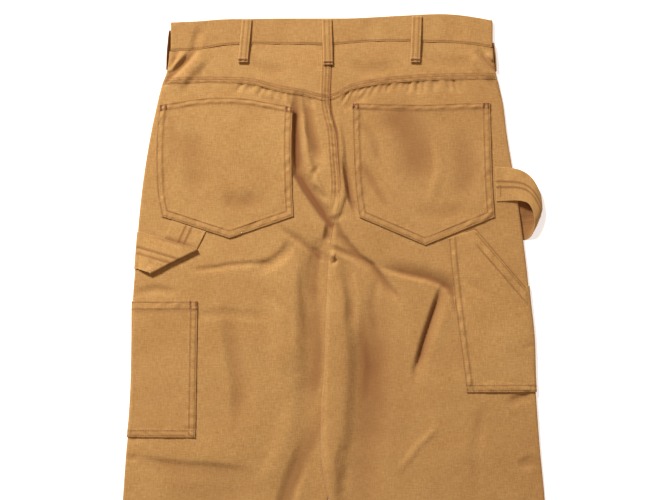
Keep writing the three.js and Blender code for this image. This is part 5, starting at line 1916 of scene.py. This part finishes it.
class PANTS_OT_zip(bpy.types.Operator):
    """Lays the closed zip inside the fly"""
    bl_idname = "pants.zip"
    bl_label = "Zip"

    def execute(self, context):
        downs = np.linspace(ZIP["top"], ZIP["bottom"], 60)
        offs = np.linspace(-ZIP["width"] / 2, ZIP["width"] / 2, 14)
        seam = sample(FRONT_SEAM, "down", "x", downs)
        x = seam[:, None] + offs[None]
        down = np.broadcast_to(downs[:, None], x.shape)
        z = front_top("left", x, down) + LIE_GAP + ZIP["tape"] + 0.1
        tape = cloth("zip_tape", np.stack([x, -down, z], axis=2), ZIP["tape"], "fly_zip", finish="zip_tape")
        teeth = bevelled_block("zip_teeth", ZIP["tooth"], 0.25, 1)
        row = teeth.modifiers.new("row", "ARRAY")
        row.count = int((ZIP["bottom"] - ZIP["top"] - 16) / ZIP["pitch"])
        row.use_relative_offset = False
        row.use_constant_offset = True
        row.constant_offset_displace = (0, -ZIP["pitch"] * MM, 0)
        bpy.ops.object.modifier_apply(modifier=row.name)
        for vertex in teeth.data.vertices:
            along = -vertex.co.y / MM + ZIP["top"] + ZIP["first_tooth"]
            middle = float(sample(FRONT_SEAM, "down", "x", along))
            base = float(front_top("left", middle, along)) + LIE_GAP + 1.0
            vertex.co = Vector(in_row([vertex.co.x / MM + middle, -along, vertex.co.z / MM + base]))
        settle(teeth, "brass", "zip")
        slider = bevelled_block("zip_slider", ZIP["slider"], 0.6, 3)
        down = ZIP["top"] + ZIP["slider_down"]
        base = float(front_top("left", 0.0, down)) + LIE_GAP + 1.3
        slider.data.transform(Matrix.Translation(in_row([0, -down, base])))
        settle(slider, "brass", "zip")
        soften(slider, 40)
        return {"FINISHED"}


class PANTS_OT_button(bpy.types.Operator):
    """Gives the pressed waist button its brass"""
    bl_idname = "pants.button"
    bl_label = "Waist button"

    def execute(self, context):
        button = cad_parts["waist_button"]
        button.data.materials.clear()
        button.data.materials.append(MATERIALS["brass"]())
        return {"FINISHED"}


class PANTS_OT_topstitching(bpy.types.Operator):
    """Sews every row that shows"""
    bl_idname = "pants.topstitching"
    bl_label = "Topstitching"

    def execute(self, context):
        sizes = context.scene.pants_sizes
        thread_sizes = {"pitch": sizes.stitch_pitch / MM, "thick": sizes.thread_thick / MM}
        left_back = top_of(back_surface, "left")
        left_yoke = top_of(yoke_surface, "left")
        runs = []
        for leg in LEGS:
            sign = way(leg)
            edge = float(side(leg, 88)) - sign * 4.5
            xs = np.linspace(edge, float(inner(leg, 110)) + sign * 1.5, 80)
            for row in YOKE_ROWS:
                route = np.stack([xs, across("yoke", xs) - row], axis=1)
                runs.append(run_on(top_of(yoke_surface, leg), route))
        thread("stitching_yoke_seam", runs, **thread_sizes)
        runs = []
        for row in SEAT_ROWS:
            downs = np.linspace(39, 109, 30)
            runs.append(run_on(left_yoke, np.stack([inner("left", downs) - row, downs], axis=1)))
            downs = np.linspace(114, SEAT_SHOWN[0] + 8, 60)
            runs.append(run_on(left_back, np.stack([inner("left", downs) - row, downs], axis=1)))
        thread("stitching_seat_seam", runs, **thread_sizes)
        for leg in LEGS:
            shape = BACK_POCKETS[leg]
            on_pocket = top_of(pocket_surface, leg)
            runs = [run_on(on_pocket, offset_route(leg, off)) for off in DOUBLE_ROWS]
            xs = np.linspace(shape["top"][0]["x"] + 1.5, shape["top"][-1]["x"] - 1.5, 60)
            top = sample(shape["top"], "x", "down", xs)
            for row in TOP_ROWS:
                runs.append(run_on(on_pocket, np.stack([xs, top + row], axis=1)))
            thread(f"stitching_back_pocket_{leg}", runs, **thread_sizes)
        self.sew_tool_pockets(thread_sizes)
        runs = []
        for name in ("hammer_loop_left_cloth", "hammer_loop_right_cloth"):
            parts = made[name]["parts"]
            for row in STRAP_ROWS:
                runs.append(line_of(name, col=nearest(parts * STRAP_WIDE, STRAP_WIDE / 2 + row)))
        runs.append(run_on(over_back("right", SHELL + 0.2), ((224.5, 224), (224, 242))))
        thread("stitching_hammer_loops", runs, **thread_sizes)
        runs = []
        for loop in BACK_LOOPS:
            name = f"belt_loop_back_{loop['name']}_cloth"
            for row in LOOP_ROWS:
                runs.append(line_of(name, col=nearest(made[name]["offs"], row), start=3, end=-3))
        thread("stitching_belt_loops", runs, **thread_sizes)
        band = made["waistband_cloth"]
        low = nearest(band_places(), BAND_DEEP - BAND_ROW)
        run = (band["outer"][low] + band["normal"][low] * 0.1, band["normal"][low])
        thread("stitching_waistband", [run], **thread_sizes)
        runs = []
        for leg in LEGS:
            sign = way(leg)
            xs = np.linspace(float(side(leg, HEM)) - sign * 5, float(inner(leg, HEM)) + sign * 5, 60)
            route = np.stack([xs, np.full(60, HEM - HEM_ROW)], axis=1)
            runs.append(run_on(top_of(back_surface, leg), route))
        thread("stitching_hems", runs, **thread_sizes)
        return {"FINISHED"}

    def sew_tool_pockets(self, thread_sizes):
        """Sews the rows along the edges of both tool pockets."""
        name = "tool_pocket_left_cloth"
        left = made[name]
        height = TOOL_LEFT["bottom"] - TOOL_LEFT["top"]
        end = len(left["outer"][0])
        runs = []
        for place in HEM_ROWS + (height - DOUBLE_ROWS[0], height - DOUBLE_ROWS[1]):
            runs.append(line_of(name, row=nearest(left["rows"], place), start=4, end=end - 2))
        for place in DOUBLE_ROWS:
            runs.append(line_of(name, col=end - 1 - nearest(left["cols"], place)))
        thread("stitching_tool_pocket_left", runs, **thread_sizes)
        name = "tool_pocket_right_cloth"
        right = made[name]
        runs = []
        for place in DOUBLE_ROWS:
            low = nearest(right["rows"], TOOL_RIGHT_HIGH - place)
            runs.append(line_of(name, row=low, start=2, end=-4))
        for place in DOUBLE_ROWS:
            runs.append(line_of(name, col=nearest(right["cols"], place)))
        xs = np.linspace(TOOL_RIGHT["shoulder"][0] + 1, 260.5, 40)
        for place in MOUTH_ROWS:
            route = np.stack([xs, mouth_down(xs) + place], axis=1)
            runs.append(run_on(over_back("right", CLOTH + 0.15), route))
        thread("stitching_tool_pocket_right", runs, **thread_sizes)


class PANTS_OT_bartacks(bpy.types.Operator):
    """Bars the ends of pockets and loops"""
    bl_idname = "pants.bartacks"
    bl_label = "Bartacks"

    def execute(self, context):
        runs = []
        for leg in LEGS:
            shape = BACK_POCKETS[leg]
            first = shape["top"][0]["x"]
            last = shape["top"][-1]["x"]
            for x in (first + 2, first + TACK_INSET, last - 2, last - TACK_INSET):
                down = float(sample(shape["top"], "x", "down", x)) + 4.6
                runs += tack(top_of(pocket_surface, leg), x, down, 8, 1.2)
        for x in (-185.5, -193.5):
            runs += tack(over_back("left", CLOTH + 0.3), x, TOOL_LEFT["top"] + 6, 12, 1.2)
        for loop in BACK_LOOPS:
            grid = made[f"belt_loop_back_{loop['name']}_cloth"]
            foot_z = float(grid["outer"][-len(LOOP_STEPS)][:, 2].mean())

            def on_foot(x, down, z=foot_z):
                return np.full(np.shape(x), z) + 0.1

            runs += tack(on_foot, loop["footx"], loop["foot"] - LOOP_TACK_UP, 12, 1.6, upright=False)
        thread("bartacks", runs, finish="tack", pitch=2.6, length=2.9, thick=0.6)
        return {"FINISHED"}


class PANTS_PT_panel(bpy.types.Panel):
    """Lists the pants' sizes, colours and pieces"""
    bl_idname = "PANTS_PT_panel"
    bl_label = "Duck canvas work pants"
    bl_space_type = "VIEW_3D"
    bl_region_type = "UI"
    bl_category = "Pants"

    def draw(self, context):
        layout = self.layout
        for group in (context.scene.pants_sizes, context.scene.pants_colours):
            for name in group.__annotations__:
                layout.prop(group, name)
        for operator in OPERATORS:
            layout.operator(operator.bl_idname)


OPERATORS = (
    PANTS_OT_camera,
    PANTS_OT_stage,
    PANTS_OT_fronts,
    PANTS_OT_backs,
    PANTS_OT_yokes,
    PANTS_OT_waistband,
    PANTS_OT_back_pockets,
    PANTS_OT_tool_pockets,
    PANTS_OT_hammer_loops,
    PANTS_OT_belt_loops,
    PANTS_OT_zip,
    PANTS_OT_button,
    PANTS_OT_topstitching,
    PANTS_OT_bartacks,
)
CLASSES = (PantsSizes, PantsColours) + OPERATORS + (PANTS_PT_panel,)


def register():
    for cls in CLASSES:
        bpy.utils.register_class(cls)
    bpy.types.Scene.pants_sizes = bpy.props.PointerProperty(type=PantsSizes)
    bpy.types.Scene.pants_colours = bpy.props.PointerProperty(type=PantsColours)


def unregister():
    del bpy.types.Scene.pants_colours
    del bpy.types.Scene.pants_sizes
    for cls in reversed(CLASSES):
        bpy.utils.unregister_class(cls)


def main():
    register()
    for operator in OPERATORS:
        group, name = operator.bl_idname.split(".")
        getattr(getattr(bpy.ops, group), name)()


if __name__ == "__main__":
    main()
